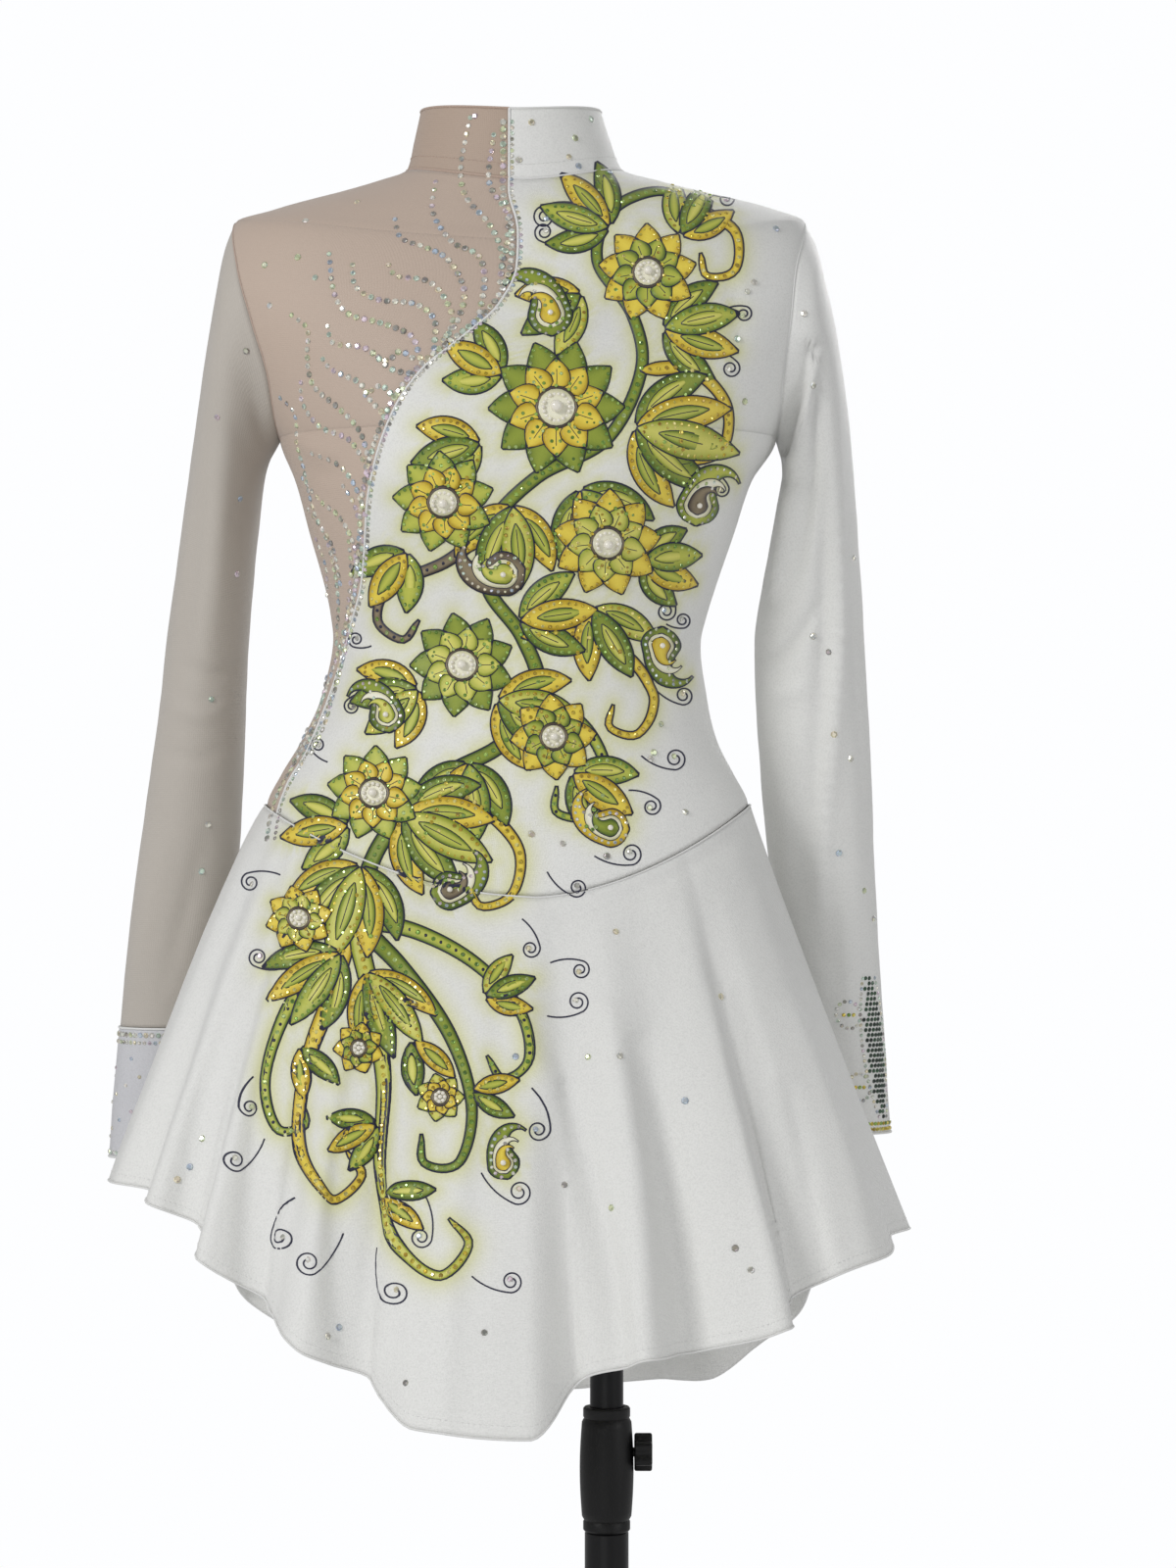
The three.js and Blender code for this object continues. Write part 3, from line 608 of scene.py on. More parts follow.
def grid_normals(points: Array, ring: bool, outward: int) -> Array:
    """The outward directions of a grid of points."""
    if ring:
        along = np.roll(points, -1, axis=1) - np.roll(points, 1, axis=1)
    else:
        along = np.gradient(points, axis=1)
    return unit(np.cross(along, np.gradient(points, axis=0)) * outward)


# ---------------------------------------------------------------- creases


@dataclass(frozen=True)
class Crease:
    """A soft ridge or trough along a line that is seen from the front or back.

    The line runs through points of distance from the centre line and height, in the view's plane for
    the front and on the piece itself for the back. rise is the ridge's height, below zero for a trough,
    width its half width, and sharp below one keeps it deep to its ends.
    """

    face: Face
    rise: float
    width: float
    sharp: float
    line: list[Plane]

    def lift(self, points: Array, normals: Array) -> Array:
        """How far the crease moves each point outwards."""
        spine = curve_through(self.line, 40)
        flat = seen_from_front(points) if self.face is Face.FRONT else points[..., [0, 2]]
        flat = flat.reshape(-1, 2)
        near = np.full(len(flat), np.inf)
        place = np.zeros(len(flat))
        for i, spot in enumerate(spine):
            away = np.hypot(flat[:, 0] - spot[0], flat[:, 1] - spot[1])
            closer = away < near
            near = np.where(closer, away, near)
            place = np.where(closer, i / (len(spine) - 1), place)
        taper = np.maximum(np.sin(place * math.pi), 0) ** self.sharp
        facing = np.clip(normals[..., 1].reshape(-1) * self.face.value * 1.6 + 0.1, 0, 1)
        lift = self.rise * taper * np.exp(-((near / self.width) ** 2)) * facing
        return lift.reshape(points.shape[:-1])


def seen_from_front(points: Array) -> Array:
    """Where points show in the view's plane: distances from the centre line, and heights."""
    share = -EYE[1] / (points[..., 1:2] - EYE[1])
    return np.array((EYE[0], EYE[2])) + (points[..., [0, 2]] - (EYE[0], EYE[2])) * share


def curve_through(points: Sequence[Plane], count: int) -> Array:
    """Evenly spaced points on a smooth curve through the given ones.

    Args:
        points: Two or more places.
        count: How many points to give back.

    Returns:
        A row for each point.
    """
    rows = np.array(points, float)
    if len(rows) < 3:
        return np.linspace(rows[0], rows[-1], count)
    ends = np.vstack([2 * rows[0] - rows[1], rows, 2 * rows[-1] - rows[-2]])
    fine = []
    for a, b, c, d in zip(ends, ends[1:], ends[2:], ends[3:]):
        for t in np.linspace(0, 1, 24, endpoint=False):
            bend = (2 * a - 5 * b + 4 * c - d) * t + (3 * b - a - 3 * c + d) * t * t
            fine.append(b + 0.5 * t * (c - a + bend))
    fine = np.array(fine + [rows[-1]])
    along = lengths(fine)
    return read_at(np.linspace(0, along[-1], count), along, fine)


def length_of(line: Array) -> float:
    """The length of a line of points."""
    return float(np.linalg.norm(np.diff(line, axis=0), axis=1).sum())


def creases(text: str) -> tuple[Crease, ...]:
    """Creases in writing: the face, rise, width and sharpness of each, and then its line."""
    return tuple(Crease(Face[face], *numbers[:3], pairs(numbers[3:])) for face, *numbers in rows_of(text))


LEFT_SLEEVE_CREASES = creases("""
FRONT 7 5 0.35 191 1262 186 1240 178 1200 172 1150 164 1100 /
FRONT -11 7 0.35 187 1268 181 1244 175 1222 170 1196 /
FRONT -4.5 5.5 0.5 197 1262 193 1215 187 1165 178 1110 /
FRONT 4.6 6.5 0.7 200 1275 204 1211 206 1148 207 1086 203 1030 197 955 193 900 /
FRONT -4.4 6 0.7 196 1180 197 1100 194 1030 187 960 /
FRONT -2.4 5.5 0.7 209 1230 211 1148 218 1061 224 967 230 900 /
FRONT -4.4 4.5 0.7 152 1066 166 1067 182 1082 194 1104 / FRONT 2.2 5.5 0.7 156 1046 172 1044 188 1052 /
FRONT -2.6 5 0.7 166 1192 175 1178 188 1170 / FRONT -2.2 9 0.7 186 1010 180 940 190 860 /
FRONT 1.8 7 0.7 214 940 212 880 214 820 / FRONT -1.2 4.5 0.7 190 880 204 872 222 876 /
BACK -4.4 9 0.7 200 1290 186 1240 178 1180 / BACK 3 7 0.7 190 1250 200 1200 206 1150 /
BACK 2.8 8 0.7 214 1180 206 1120 190 1060 / BACK -2.4 7 0.7 220 1120 216 1060 206 1010 /
BACK -2.4 5 0.7 170 1046 192 1034 216 1040 / BACK 2.2 5 0.7 176 1018 198 1006 222 1014 /
BACK -1.8 5 0.7 178 990 198 980 222 986 / BACK 1.8 7 0.7 184 960 208 900 228 850 /
BACK -1.8 7 0.7 232 960 222 900 204 850 / BACK -2.2 6 0.7 150 1150 172 1120 200 1110
""")
RIGHT_SLEEVE_CREASES = creases("""
FRONT -3.6 6 0.7 -172 1290 -165 1245 -159 1200 / FRONT 2.4 8 0.7 -184 1270 -186 1200 -192 1120 -200 1040 /
FRONT -2 6 0.7 -200 1180 -208 1110 -214 1050 / FRONT -2.2 5 0.7 -172 1068 -190 1056 -214 1062 /
FRONT 1.8 5 0.7 -176 1040 -200 1030 -228 1038 / FRONT -1.4 5 0.7 -184 1010 -204 1002 -230 1008 /
FRONT -1.8 7 0.7 -196 960 -212 900 -226 850 / FRONT 1.4 7 0.7 -222 960 -236 900 -246 850 /
BACK -3.6 8 0.7 -190 1290 -180 1240 -170 1185 / BACK 2.6 7 0.7 -178 1260 -190 1200 -198 1150 /
BACK 2.8 8 0.7 -208 1180 -204 1110 -190 1050 / BACK -2.4 5 0.7 -180 1030 -200 1018 -226 1026 /
BACK 2 5 0.7 -184 1004 -204 994 -230 1000 / BACK 1.8 7 0.7 -196 950 -216 900 -236 850 /
BACK -1.8 7 0.7 -238 960 -228 910 -212 860 / BACK -2.2 6 0.7 -158 1150 -178 1122 -204 1112
""")
BODICE_CREASES = creases("""
FRONT 1.8 6 0.7 132 1222 110 1206 88 1198 / FRONT -1.6 5 0.7 134 1204 112 1190 92 1186 /
FRONT 1.2 5 0.7 128 1184 108 1176 90 1176 / FRONT 1.5 5 0.7 -148 1210 -128 1200 -108 1196 /
FRONT -1.2 5 0.7 -146 1192 -126 1184 -108 1184 / FRONT 1.3 5 0.7 118 1080 92 1070 66 1070 /
FRONT -1.2 5 0.7 116 1058 90 1050 66 1052 / FRONT 1.3 6 0.7 118 1034 94 1026 66 1026 /
FRONT 1 5 0.7 -112 1060 -90 1052 -70 1054 / FRONT 1.5 6 0.4 -10 940 40 935 90 955 136 975 /
FRONT -1.4 7 0.7 128 1330 140 1290 142 1250 / BACK 1.8 6 0.7 100 1085 60 1072 20 1076 /
BACK -1.6 5 0.7 104 1060 66 1048 24 1054 / BACK 1.4 6 0.7 108 1034 64 1024 20 1030 /
BACK 1.7 6 0.7 -100 1080 -64 1068 -22 1074 / BACK -1.5 5 0.7 -104 1054 -60 1042 -26 1050 /
BACK 1.6 7 0.7 -130 1240 -100 1222 -70 1216 / BACK 1.6 7 0.7 136 1236 104 1220 74 1212 /
BACK -1.3 6 0.7 140 1204 110 1192 84 1192 / BACK -1.3 6 0.7 -136 1210 -106 1196 -78 1194
""")
SKIRT_CREASES = creases("""
FRONT 5 9 0.5 2 860 7 826 23 791 34 744 42 674 48 584 52 500 /
FRONT -6.5 9 0.5 30 800 42 752 58 681 66 619 72 540 /
FRONT 4.5 8 0.5 58 850 66 806 77 736 81 674 83 619 85 540 /
FRONT -7 11 0.5 78 830 87 787 97 736 108 674 114 627 122 540 /
FRONT 5.5 9 0.5 130 860 144 806 155 752 165 689 172 638 184 560 /
FRONT -4.5 8 0.5 172 800 184 750 192 700 200 640 / FRONT 3 9 0.5 176 850 200 790 216 730 228 660 /
FRONT 2.6 9 0.5 -20 850 -30 780 -40 700 -46 600 -48 520 /
FRONT 5 9 0.5 -66 850 -72 780 -79 705 -85 650 -86 595 -86 520 /
FRONT -6.5 11 0.5 -96 840 -108 780 -113 736 -114 674 -110 627 -108 560 /
FRONT 5 8 0.5 -124 850 -138 800 -147 750 -150 705 -153 642 -158 570 /
FRONT -4.5 8 0.5 -150 850 -164 790 -170 730 -174 670 -176 610 /
FRONT 4 8 0.5 -160 860 -178 810 -190 750 -199 697 -206 640 /
FRONT -3.5 8 0.5 -180 850 -200 790 -212 730 -222 670 / FRONT -2.2 6 0.4 24 900 70 915 120 940 150 960 /
BACK 4.5 12 0.5 14 920 36 800 60 680 66 520 / BACK -5 12 0.5 -14 900 -20 780 -32 640 -34 500 /
BACK 4.5 12 0.5 -40 920 -66 800 -90 680 -96 520 / BACK -5 11 0.5 -84 920 -116 800 -136 680 -142 560 /
BACK 4 10 0.5 -110 930 -150 830 -176 720 -186 600 / BACK -5 12 0.5 56 920 84 800 108 680 112 540 /
BACK 4.5 11 0.5 90 940 130 820 156 700 164 560 / BACK -4 10 0.5 120 940 166 830 192 730 204 620
""")


# ---------------------------------------------------------------- meshes


def close_loop(ring: Array) -> Array:
    """A ring of points with its first point again at its end."""
    return np.concatenate([ring, ring[:1]])


def to_metres(points: Array) -> Array:
    """Millimetres from the dress's centre line, as metres from the pole's axis."""
    return (np.asarray(points, float) + (DRESS_X, 0, 0)) * MM


def to_mesh(name: str, bm: BMesh) -> Mesh:
    """Turns a bmesh into a mesh."""
    mesh = bpy.data.meshes.new(name)
    bm.to_mesh(mesh)
    bm.free()
    return mesh


def new_object(name: str, mesh: Mesh, smooth_shaded: bool = True) -> Piece:
    """An object at the origin that shows a mesh."""
    if smooth_shaded:
        mesh.polygons.foreach_set("use_smooth", [True] * len(mesh.polygons))
    piece = bpy.data.objects.new(name, mesh)
    bpy.context.scene.collection.objects.link(piece)
    return piece


def grid_mesh(name: str, points: Array, ring: bool = False, outward: Array | None = None) -> Mesh:
    """A mesh from a grid laid over rows of points, with its UV map in metres of cloth.

    Args:
        name: The mesh's name.
        points: Rows of points in millimetres.
        ring: True where the columns close on themselves.
        outward: The directions that the faces look in, row by row.

    Returns:
        The mesh.
    """
    rows, count = points.shape[:2]
    across = count if ring else count - 1
    metres = to_metres(points)
    middle = metres[rows // 2]
    u, v = lengths(close_loop(middle) if ring else middle), lengths(metres[:, 0])
    bm = bmesh.new()
    layer = bm.loops.layers.uv.new("UVMap")
    bmesh.ops.create_grid(bm, x_segments=across, y_segments=rows - 1, size=1)
    for vert in bm.verts:
        j = round((vert.co.x + 1) / 2 * across)
        i = round((vert.co.y + 1) / 2 * (rows - 1))
        for loop in vert.link_loops:
            loop[layer].uv = (u[j], v[i])
        vert.co = metres[i, j % count]
    if ring:
        bmesh.ops.remove_doubles(bm, verts=bm.verts[:], dist=1e-7)
    bm.normal_update()
    if outward is not None:
        bm.faces.ensure_lookup_table()
        i, j = rows // 2, count // 2
        tree = BVHTree.FromBMesh(bm)
        _, normal, _, _ = tree.find_nearest(Vector(metres[i, j]))
        if normal.dot(Vector(outward[i, j])) < 0:
            bmesh.ops.reverse_faces(bm, faces=bm.faces[:])
    return to_mesh(name, bm)


@dataclass
class Sheet:
    """One piece of the dress's cloth: its smooth form and the same grid with its creases."""

    name: str
    plain: Array
    outward: int
    ring: bool = False
    creases: tuple[Crease, ...] = ()
    unevenness: float = 0.25
    final: Array = field(init=False)
    normals: Array = field(init=False)

    def __post_init__(self) -> None:
        """Works out the creased surface."""
        normals = grid_normals(self.plain, self.ring, self.outward)
        flat = np.zeros(self.plain.shape[:2])
        lift = sum((crease.lift(self.plain, normals) for crease in self.creases), flat)
        waves = np.array([
            noise.noise(Vector(point) * 0.021) + 0.4 * noise.noise(Vector(point) * 0.055)
            for point in self.plain.reshape(-1, 3)
        ]).reshape(lift.shape)
        calm = self.calm_edges(*lift.shape)
        lift, waves = lift * calm, waves * calm
        self.final = self.plain + normals * (lift + self.unevenness * waves)[..., None]
        self.normals = grid_normals(self.final, self.ring, self.outward)

    def calm_edges(self, rows: int, count: int) -> Array:
        """A share that fades the creases out where the piece is sewn to others."""
        down = np.linspace(0, 1, rows)[:, None]
        across = np.linspace(0, 1, count)[None, :]
        if self.ring:
            return np.clip(down * 24, 0, 1) * np.ones_like(across)
        free = self.name.startswith("skirt")
        ends = down if free else np.minimum(down, 1 - down)
        return np.clip(ends * 24, 0, 1) * np.clip(np.minimum(across, 1 - across) * 14, 0, 1)

    def closed(self) -> Array:
        """The smooth form's points, with a ring's first column again at its end."""
        return np.concatenate([self.plain, self.plain[:, :1]], axis=1) if self.ring else self.plain

    def area(self) -> float:
        """The cloth's area in square metres."""
        points = self.closed()
        along, up = points[:-1, 1:] - points[:-1, :-1], points[1:, :-1] - points[:-1, :-1]
        return float(np.linalg.norm(np.cross(along, up), axis=-1).sum()) * MM * MM

    def cut(self) -> Plane:
        """The width and length of the cloth laid flat, in metres."""
        points = self.closed()
        width = np.linalg.norm(np.diff(points, axis=1), axis=-1).sum(axis=1).max()
        length = np.linalg.norm(np.diff(points, axis=0), axis=-1).sum(axis=0).max()
        return float(width) * MM, float(length) * MM

    def build(self, finish: Material, slot: str, rests_on: Sequence[str]) -> Piece:
        """Makes the piece, in the place of its CAD node.

        Args:
            finish: Its material.
            slot: The record's material slot.
            rests_on: The nodes or pieces that hold it up.

        Returns:
            The piece.
        """
        piece = new_object(f"cloth_{self.name}", grid_mesh(self.name, self.final, self.ring, self.normals))
        piece.data.materials.append(finish)
        wall = piece.modifiers.new("wall", "SOLIDIFY")
        wall.thickness = CLOTH * MM
        wall.offset = -1
        wall.use_even_offset = False
        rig.ride(piece, "dress")
        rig.replaces(piece, self.name)
        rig.slot(piece, slot)
        width, length = self.cut()
        area = min(self.area(), width * length)
        if self.name != "zip_tape":
            held = "hung" if self.name.startswith("skirt") else "stretched"
            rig.sheet(piece, flat=(width, length), held=held, area=area, rests_on=list(rests_on))
        LOG.info("%s: flat %.3f x %.3f m, %.4f square metres", piece.name, width, length, area)
        return piece


class Surface:
    """Finds points of the dress from the front or back."""

    def __init__(self, sheets: Sequence[Sheet], face: Face) -> None:
        """Gathers the sheets' grids.

        Args:
            sheets: The pieces of cloth to look at.
            face: The side that they are seen from.
        """
        self.face = face
        faces, start = [], 0
        for sheet in sheets:
            rows, count = sheet.plain.shape[:2]
            across = count if sheet.ring else count - 1
            index = np.arange(rows * count).reshape(rows, count) + start
            after = np.roll(index, -1, axis=1)
            quads = np.stack([index[:-1], after[:-1], after[1:], index[1:]], axis=-1)[:, :across]
            faces.append(quads.reshape(-1, 4))
            start += rows * count
        self.faces = np.concatenate(faces)
        self.plain, self.final, self.normals = (
            np.concatenate([getattr(sheet, name).reshape(-1, 3) for sheet in sheets])
            for name in ("plain", "final", "normals")
        )
        self.tree = BVHTree.FromPolygons(self.plain.tolist(), self.faces.tolist())

    def find(self, x: float, z: float, lift: float = 0.0) -> tuple[Array, Array] | None:
        """The surface's point behind a place in the view, and its outward direction.

        From the front, the view is the eye's, and the place is where its line passes the plane y = 0.

        Args:
            x: Distance from the centre line.
            z: Height.
            lift: How far above the surface the point lies.

        Returns:
            The point and direction, or None beside the dress.
        """
        for shift in (0.0, 0.9, -0.9):
            if self.face is Face.FRONT:
                origin = Vector(EYE)
                direction = (Vector((x, 0, z + shift)) - origin).normalized()
            else:
                origin, direction = Vector((x, 2000, z + shift)), Vector((0, -1, 0))
            hit, _, index, _ = self.tree.ray_cast(origin, direction)
            if hit is None:
                continue
            corners = self.faces[index]
            weights = np.array(poly_3d_calc([Vector(self.plain[c]) for c in corners], hit))
            normal = weights @ self.normals[corners]
            normal /= max(float(np.linalg.norm(normal)), 1e-9)
            if normal @ np.array(direction) < 0.05:
                return weights @ self.final[corners] + normal * lift, normal
        return None


# ---------------------------------------------------------------- shaders


class Shade:
    """A value in a material's node tree, which arithmetic extends."""

    def __init__(self, tree: bpy.types.NodeTree, socket: bpy.types.NodeSocket) -> None:
        """Wraps a node's output."""
        self.tree = tree
        self.socket = socket

    def _maths(self, operation: str, first: Any, second: Any) -> "Shade":
        """A Math node on two numbers or values."""
        return make(self.tree, "ShaderNodeMath", {"operation": operation}, {0: first, 1: second})

    def __add__(self, other: Any) -> "Shade":
        """This plus another."""
        return self._maths("ADD", self, other)

    __radd__ = __add__

    def __mul__(self, other: Any) -> "Shade":
        """This times another."""
        return self._maths("MULTIPLY", self, other)

    __rmul__ = __mul__

    def __sub__(self, other: Any) -> "Shade":
        """This less another."""
        return self._maths("SUBTRACT", self, other)

    def __rsub__(self, other: Any) -> "Shade":
        """Another less this."""
        return self._maths("SUBTRACT", other, self)

    def clamped(self) -> "Shade":
        """This, kept from 0 to 1."""
        return make(self.tree, "ShaderNodeClamp", {}, {"Value": self})


def make(tree: bpy.types.NodeTree, kind: str, settings: dict, sockets: dict, output: Any = 0) -> Shade:
    """Adds a node to a tree.

    Args:
        tree: The node tree.
        kind: The node's type.
        settings: Its properties; "stops" are a ramp's places and colours.
        sockets: A number, colour or Shade for each of its inputs.
        output: The output to give back.

    Returns:
        The node's output.
    """
    node = tree.nodes.new(kind)
    for key, value in settings.items():
        if key == "stops":
            ramp = node.color_ramp
            while len(ramp.elements) < len(value):
                ramp.elements.new(1)
            for element, (place, colour) in zip(ramp.elements, value):
                element.position, element.color = place, (*colour, 1)
        else:
            setattr(node, key, value)
    for key, value in sockets.items():
        if isinstance(value, Shade):
            tree.links.new(value.socket, node.inputs[key])
        else:
            node.inputs[key].default_value = value
    return Shade(tree, node.outputs[output])


def srgb(red: int, green: int, blue: int) -> Colour:
    """A display colour from 0 to 255 as the linear colour that shaders take."""
    parts = [part / 255 for part in (red, green, blue)]
    return tuple(p / 12.92 if p <= 0.04045 else ((p + 0.055) / 1.055) ** 2.4 for p in parts)


@dataclass
class Finish:
    """A material under way: its tree, and the nodes that most finishes share."""

    name: str
    material: Material = field(init=False)
    tree: bpy.types.NodeTree = field(init=False)

    def __post_init__(self) -> None:
        """Starts an empty material."""
        self.material = bpy.data.materials.new(self.name)
        self.material.use_nodes = True
        self.tree = self.material.node_tree
        self.tree.nodes.clear()

    def node(
        self, kind: str, settings: dict | None = None, sockets: dict | None = None, output: Any = 0,
    ) -> Shade:
        """Adds a node to this material's tree."""
        return make(self.tree, f"ShaderNode{kind}", settings or {}, sockets or {}, output)

    def place(self) -> Shade:
        """Object coordinates, in metres."""
        return self.node("TexCoord", output="Object")

    def cloth(self) -> Shade:
        """The cloth's own UV map, in metres."""
        return self.node("TexCoord", output="UV")

    def noise(self, where: Shade, scale: float, detail: float = 3.0) -> Shade:
        """A cloudy pattern from 0 to 1."""
        return self.node("TexNoise", {}, {"Vector": where, "Scale": scale, "Detail": detail}, "Fac")

    def waves(self, where: Shade, scale: float, direction: str) -> Shade:
        """Stripes across a direction."""
        settings = {"bands_direction": direction, "wave_profile": "SIN"}
        return self.node("TexWave", settings, {"Vector": where, "Scale": scale, "Distortion": 0.0}, "Fac")

    def mix(self, share: Any, first: Any, second: Any) -> Shade:
        """A colour between two, by a share from 0 to 1."""
        colours = [(*c, 1) if isinstance(c, tuple) else c for c in (first, second)]
        return self.node("Mix", {"data_type": "RGBA"}, {"Factor": share, 6: colours[0], 7: colours[1]}, 2)

    def close(self, height: Shade | None = None, depth: float = 0.0, **sockets: Any) -> Material:
        """Joins the shader to the output.

        Args:
            height: A pattern for the Bump node, or None.
            depth: The bump's height in metres.
            sockets: The shader's inputs, by name with _ for a space.

        Returns:
            The material.
        """
        inputs = {key.replace("_", " "): value for key, value in sockets.items()}
        if height is not None:
            bump = {"Height": height, "Distance": depth, "Strength": 1.0}
            inputs["Normal"] = self.node("Bump", {}, bump, "Normal")
        shader = self.node("BsdfPrincipled", {}, inputs, "BSDF")
        output = self.tree.nodes.new("ShaderNodeOutputMaterial")
        self.tree.links.new(shader.socket, output.inputs["Surface"])
        return self.material


HALO = srgb(214, 214, 92)


def satin(name: str, base: Colour, haloed: bool) -> Material:
    """Pearly stretch satin: a fine knit with a soft sheen, and the airbrushed halo round the motifs.

    Args:
        name: The material's name.
        base: Its colour.
        haloed: True where the cloth has the halo attribute.

    Returns:
        The material.
    """
    finish = Finish(name)
    where, cloth = finish.place(), finish.cloth()
    cloud = finish.noise(where, 9.0)
    fine = finish.noise(where, 900.0, 2.0)
    colour = finish.mix(cloud, tuple(c * 0.97 for c in base), base)
    colour = finish.mix(((fine - 0.42) * 1.6).clamped(), colour, tuple(c * 0.8 for c in base))
    if haloed:
        halo = finish.node("Attribute", {"attribute_name": "halo"}, {}, "Fac")
        colour = finish.mix(halo, colour, HALO)
    knit = finish.waves(cloth, 520.0, "X") * 0.5 + finish.waves(cloth, 420.0, "Y") * 0.5
    height = knit * 0.35 + finish.noise(where, 260.0) * 0.4 + fine * 0.25
    roughness = 0.30 + fine * 0.16 + cloud * 0.06
    return finish.close(
        height, 0.0004, Base_Color=colour, Roughness=roughness, Metallic=0.0, Specular_IOR_Level=0.55,
        Sheen_Weight=0.35, Sheen_Roughness=0.35, Anisotropic=0.25,
    )


def power_mesh(name: str, base: Colour) -> Material:
    """Fine stretch mesh over skin-coloured lining, matte with a faint glint."""
    finish = Finish(name)
    where, cloth = finish.place(), finish.cloth()
    cloud = finish.noise(where, 7.0)
    holes = finish.node(
        "TexVoronoi", {"feature": "F1"}, {"Vector": cloth, "Scale": 780.0, "Randomness": 0.15}, "Distance",
    )
    grain = finish.noise(where, 600.0, 2.0)
    colour = finish.mix(cloud, tuple(c * 0.93 for c in base), tuple(min(c * 1.05, 1) for c in base))
    colour = finish.mix((holes * 0.9 - 0.25).clamped() * 0.35, colour, tuple(c * 0.62 for c in base))
    height = (1 - holes) * 0.7 + grain * 0.3
    return finish.close(
        height, 0.0003, Base_Color=colour, Roughness=0.5 + grain * 0.2, Specular_IOR_Level=0.4,
        Sheen_Weight=0.4, Sheen_Roughness=0.4,
    )


def painted(name: str) -> Material:
    """Textile paint over the satin, in the colours of its own attribute."""
    finish = Finish(name)
    where = finish.place()
    paint = finish.node("Attribute", {"attribute_name": "paint"}, {}, "Color")
    brush = finish.noise(where, 120.0)
    colour = finish.mix(brush * 0.25, paint, finish.node("Gamma", {}, {"Color": paint, "Gamma": 1.6}))
    height = finish.noise(where, 700.0, 2.0)
    return finish.close(
        height, 0.0002, Base_Color=colour, Roughness=0.4 + brush * 0.15, Specular_IOR_Level=0.45,
        Sheen_Weight=0.1,
    )


def crystal(name: str) -> Material:
    """Foil-backed cut glass, whose facets take their tints and painted glints from an attribute, with a faint painted
    glow in the same colours.
    """
    finish = Finish(name)
    tint = finish.node("Attribute", {"attribute_name": "tint"}, {}, "Color")
    cloud = finish.noise(finish.place(), 60.0)
    return finish.close(
        Base_Color=tint, Metallic=0.42, Roughness=0.1 + cloud * 0.1, Specular_IOR_Level=0.8,
        # Painted light: the emission makes the stones glow faintly in their tints as sparkle, though they are no
        # lamps.
        Coat_Weight=0.7, Coat_Roughness=0.05, Emission_Color=tint, Emission_Strength=0.07,
    )


def jersey(name: str) -> Material:
    """The dress form's cotton jersey cover."""
    finish = Finish(name)
    where = finish.place()
    ribs = finish.waves(where, 260.0, "X") * 0.5 + finish.waves(where, 320.0, "Z") * 0.5
    cloud = finish.noise(where, 14.0)
    colour = finish.mix(cloud, srgb(222, 217, 207), srgb(236, 232, 224))
    return finish.close(
        ribs * 0.6 + finish.noise(where, 500.0) * 0.4, 0.0004, Base_Color=colour,
        Roughness=0.75 + cloud * 0.15, Sheen_Weight=0.3, Sheen_Roughness=0.5,
    )


def mottled(
    name: str, cloud: float, detail: float, colours: Sequence[Colour], roughness: Plane, depth: float = 0.0,
    grain: float = 0.0, **sockets: float,
) -> Material:
    """A plain finish that a cloudy pattern makes uneven, as on paint, plastic, glass and thread.

    Args:
        name: The material's name.
        cloud: The pattern's scale.
        detail: How fine the pattern goes.
        colours: The colours that it runs between.
        roughness: The roughness, and how much the pattern adds to it.
        depth: The grain's height in metres.
        grain: The grain's scale, or 0 where the pattern is the grain too.
        sockets: The shader's other inputs.

    Returns:
        The material.
    """
    finish = Finish(name)
    where = finish.place()
    pattern = finish.noise(where, cloud, detail)
    height = finish.noise(where, grain, 2.0) if grain else pattern if depth else None
    colour = finish.mix(pattern, *colours)
    rough = roughness[0] + pattern * roughness[1]
    return finish.close(height, depth, Base_Color=colour, Roughness=rough, **sockets)


def thread(name: str, base: Colour) -> Material:
    """Sewing thread and fine piping, twisted along its length."""
    colours = (tuple(c * 0.82 for c in base), base)
    return mottled(name, 1800.0, 1.0, colours, (0.45, 0.2), 0.0002, Sheen_Weight=0.3)


# ---------------------------------------------------------------- the cloth


class Cloth(Enum):
    """The dress's cloths, by the record's material slot."""

    SATIN = "white_satin"
    MESH = "nude_mesh"
    SLEEVE_MESH = "sleeve_mesh"
    CUFF = "cuff_cloth"
    ZIP = "zip_nylon"


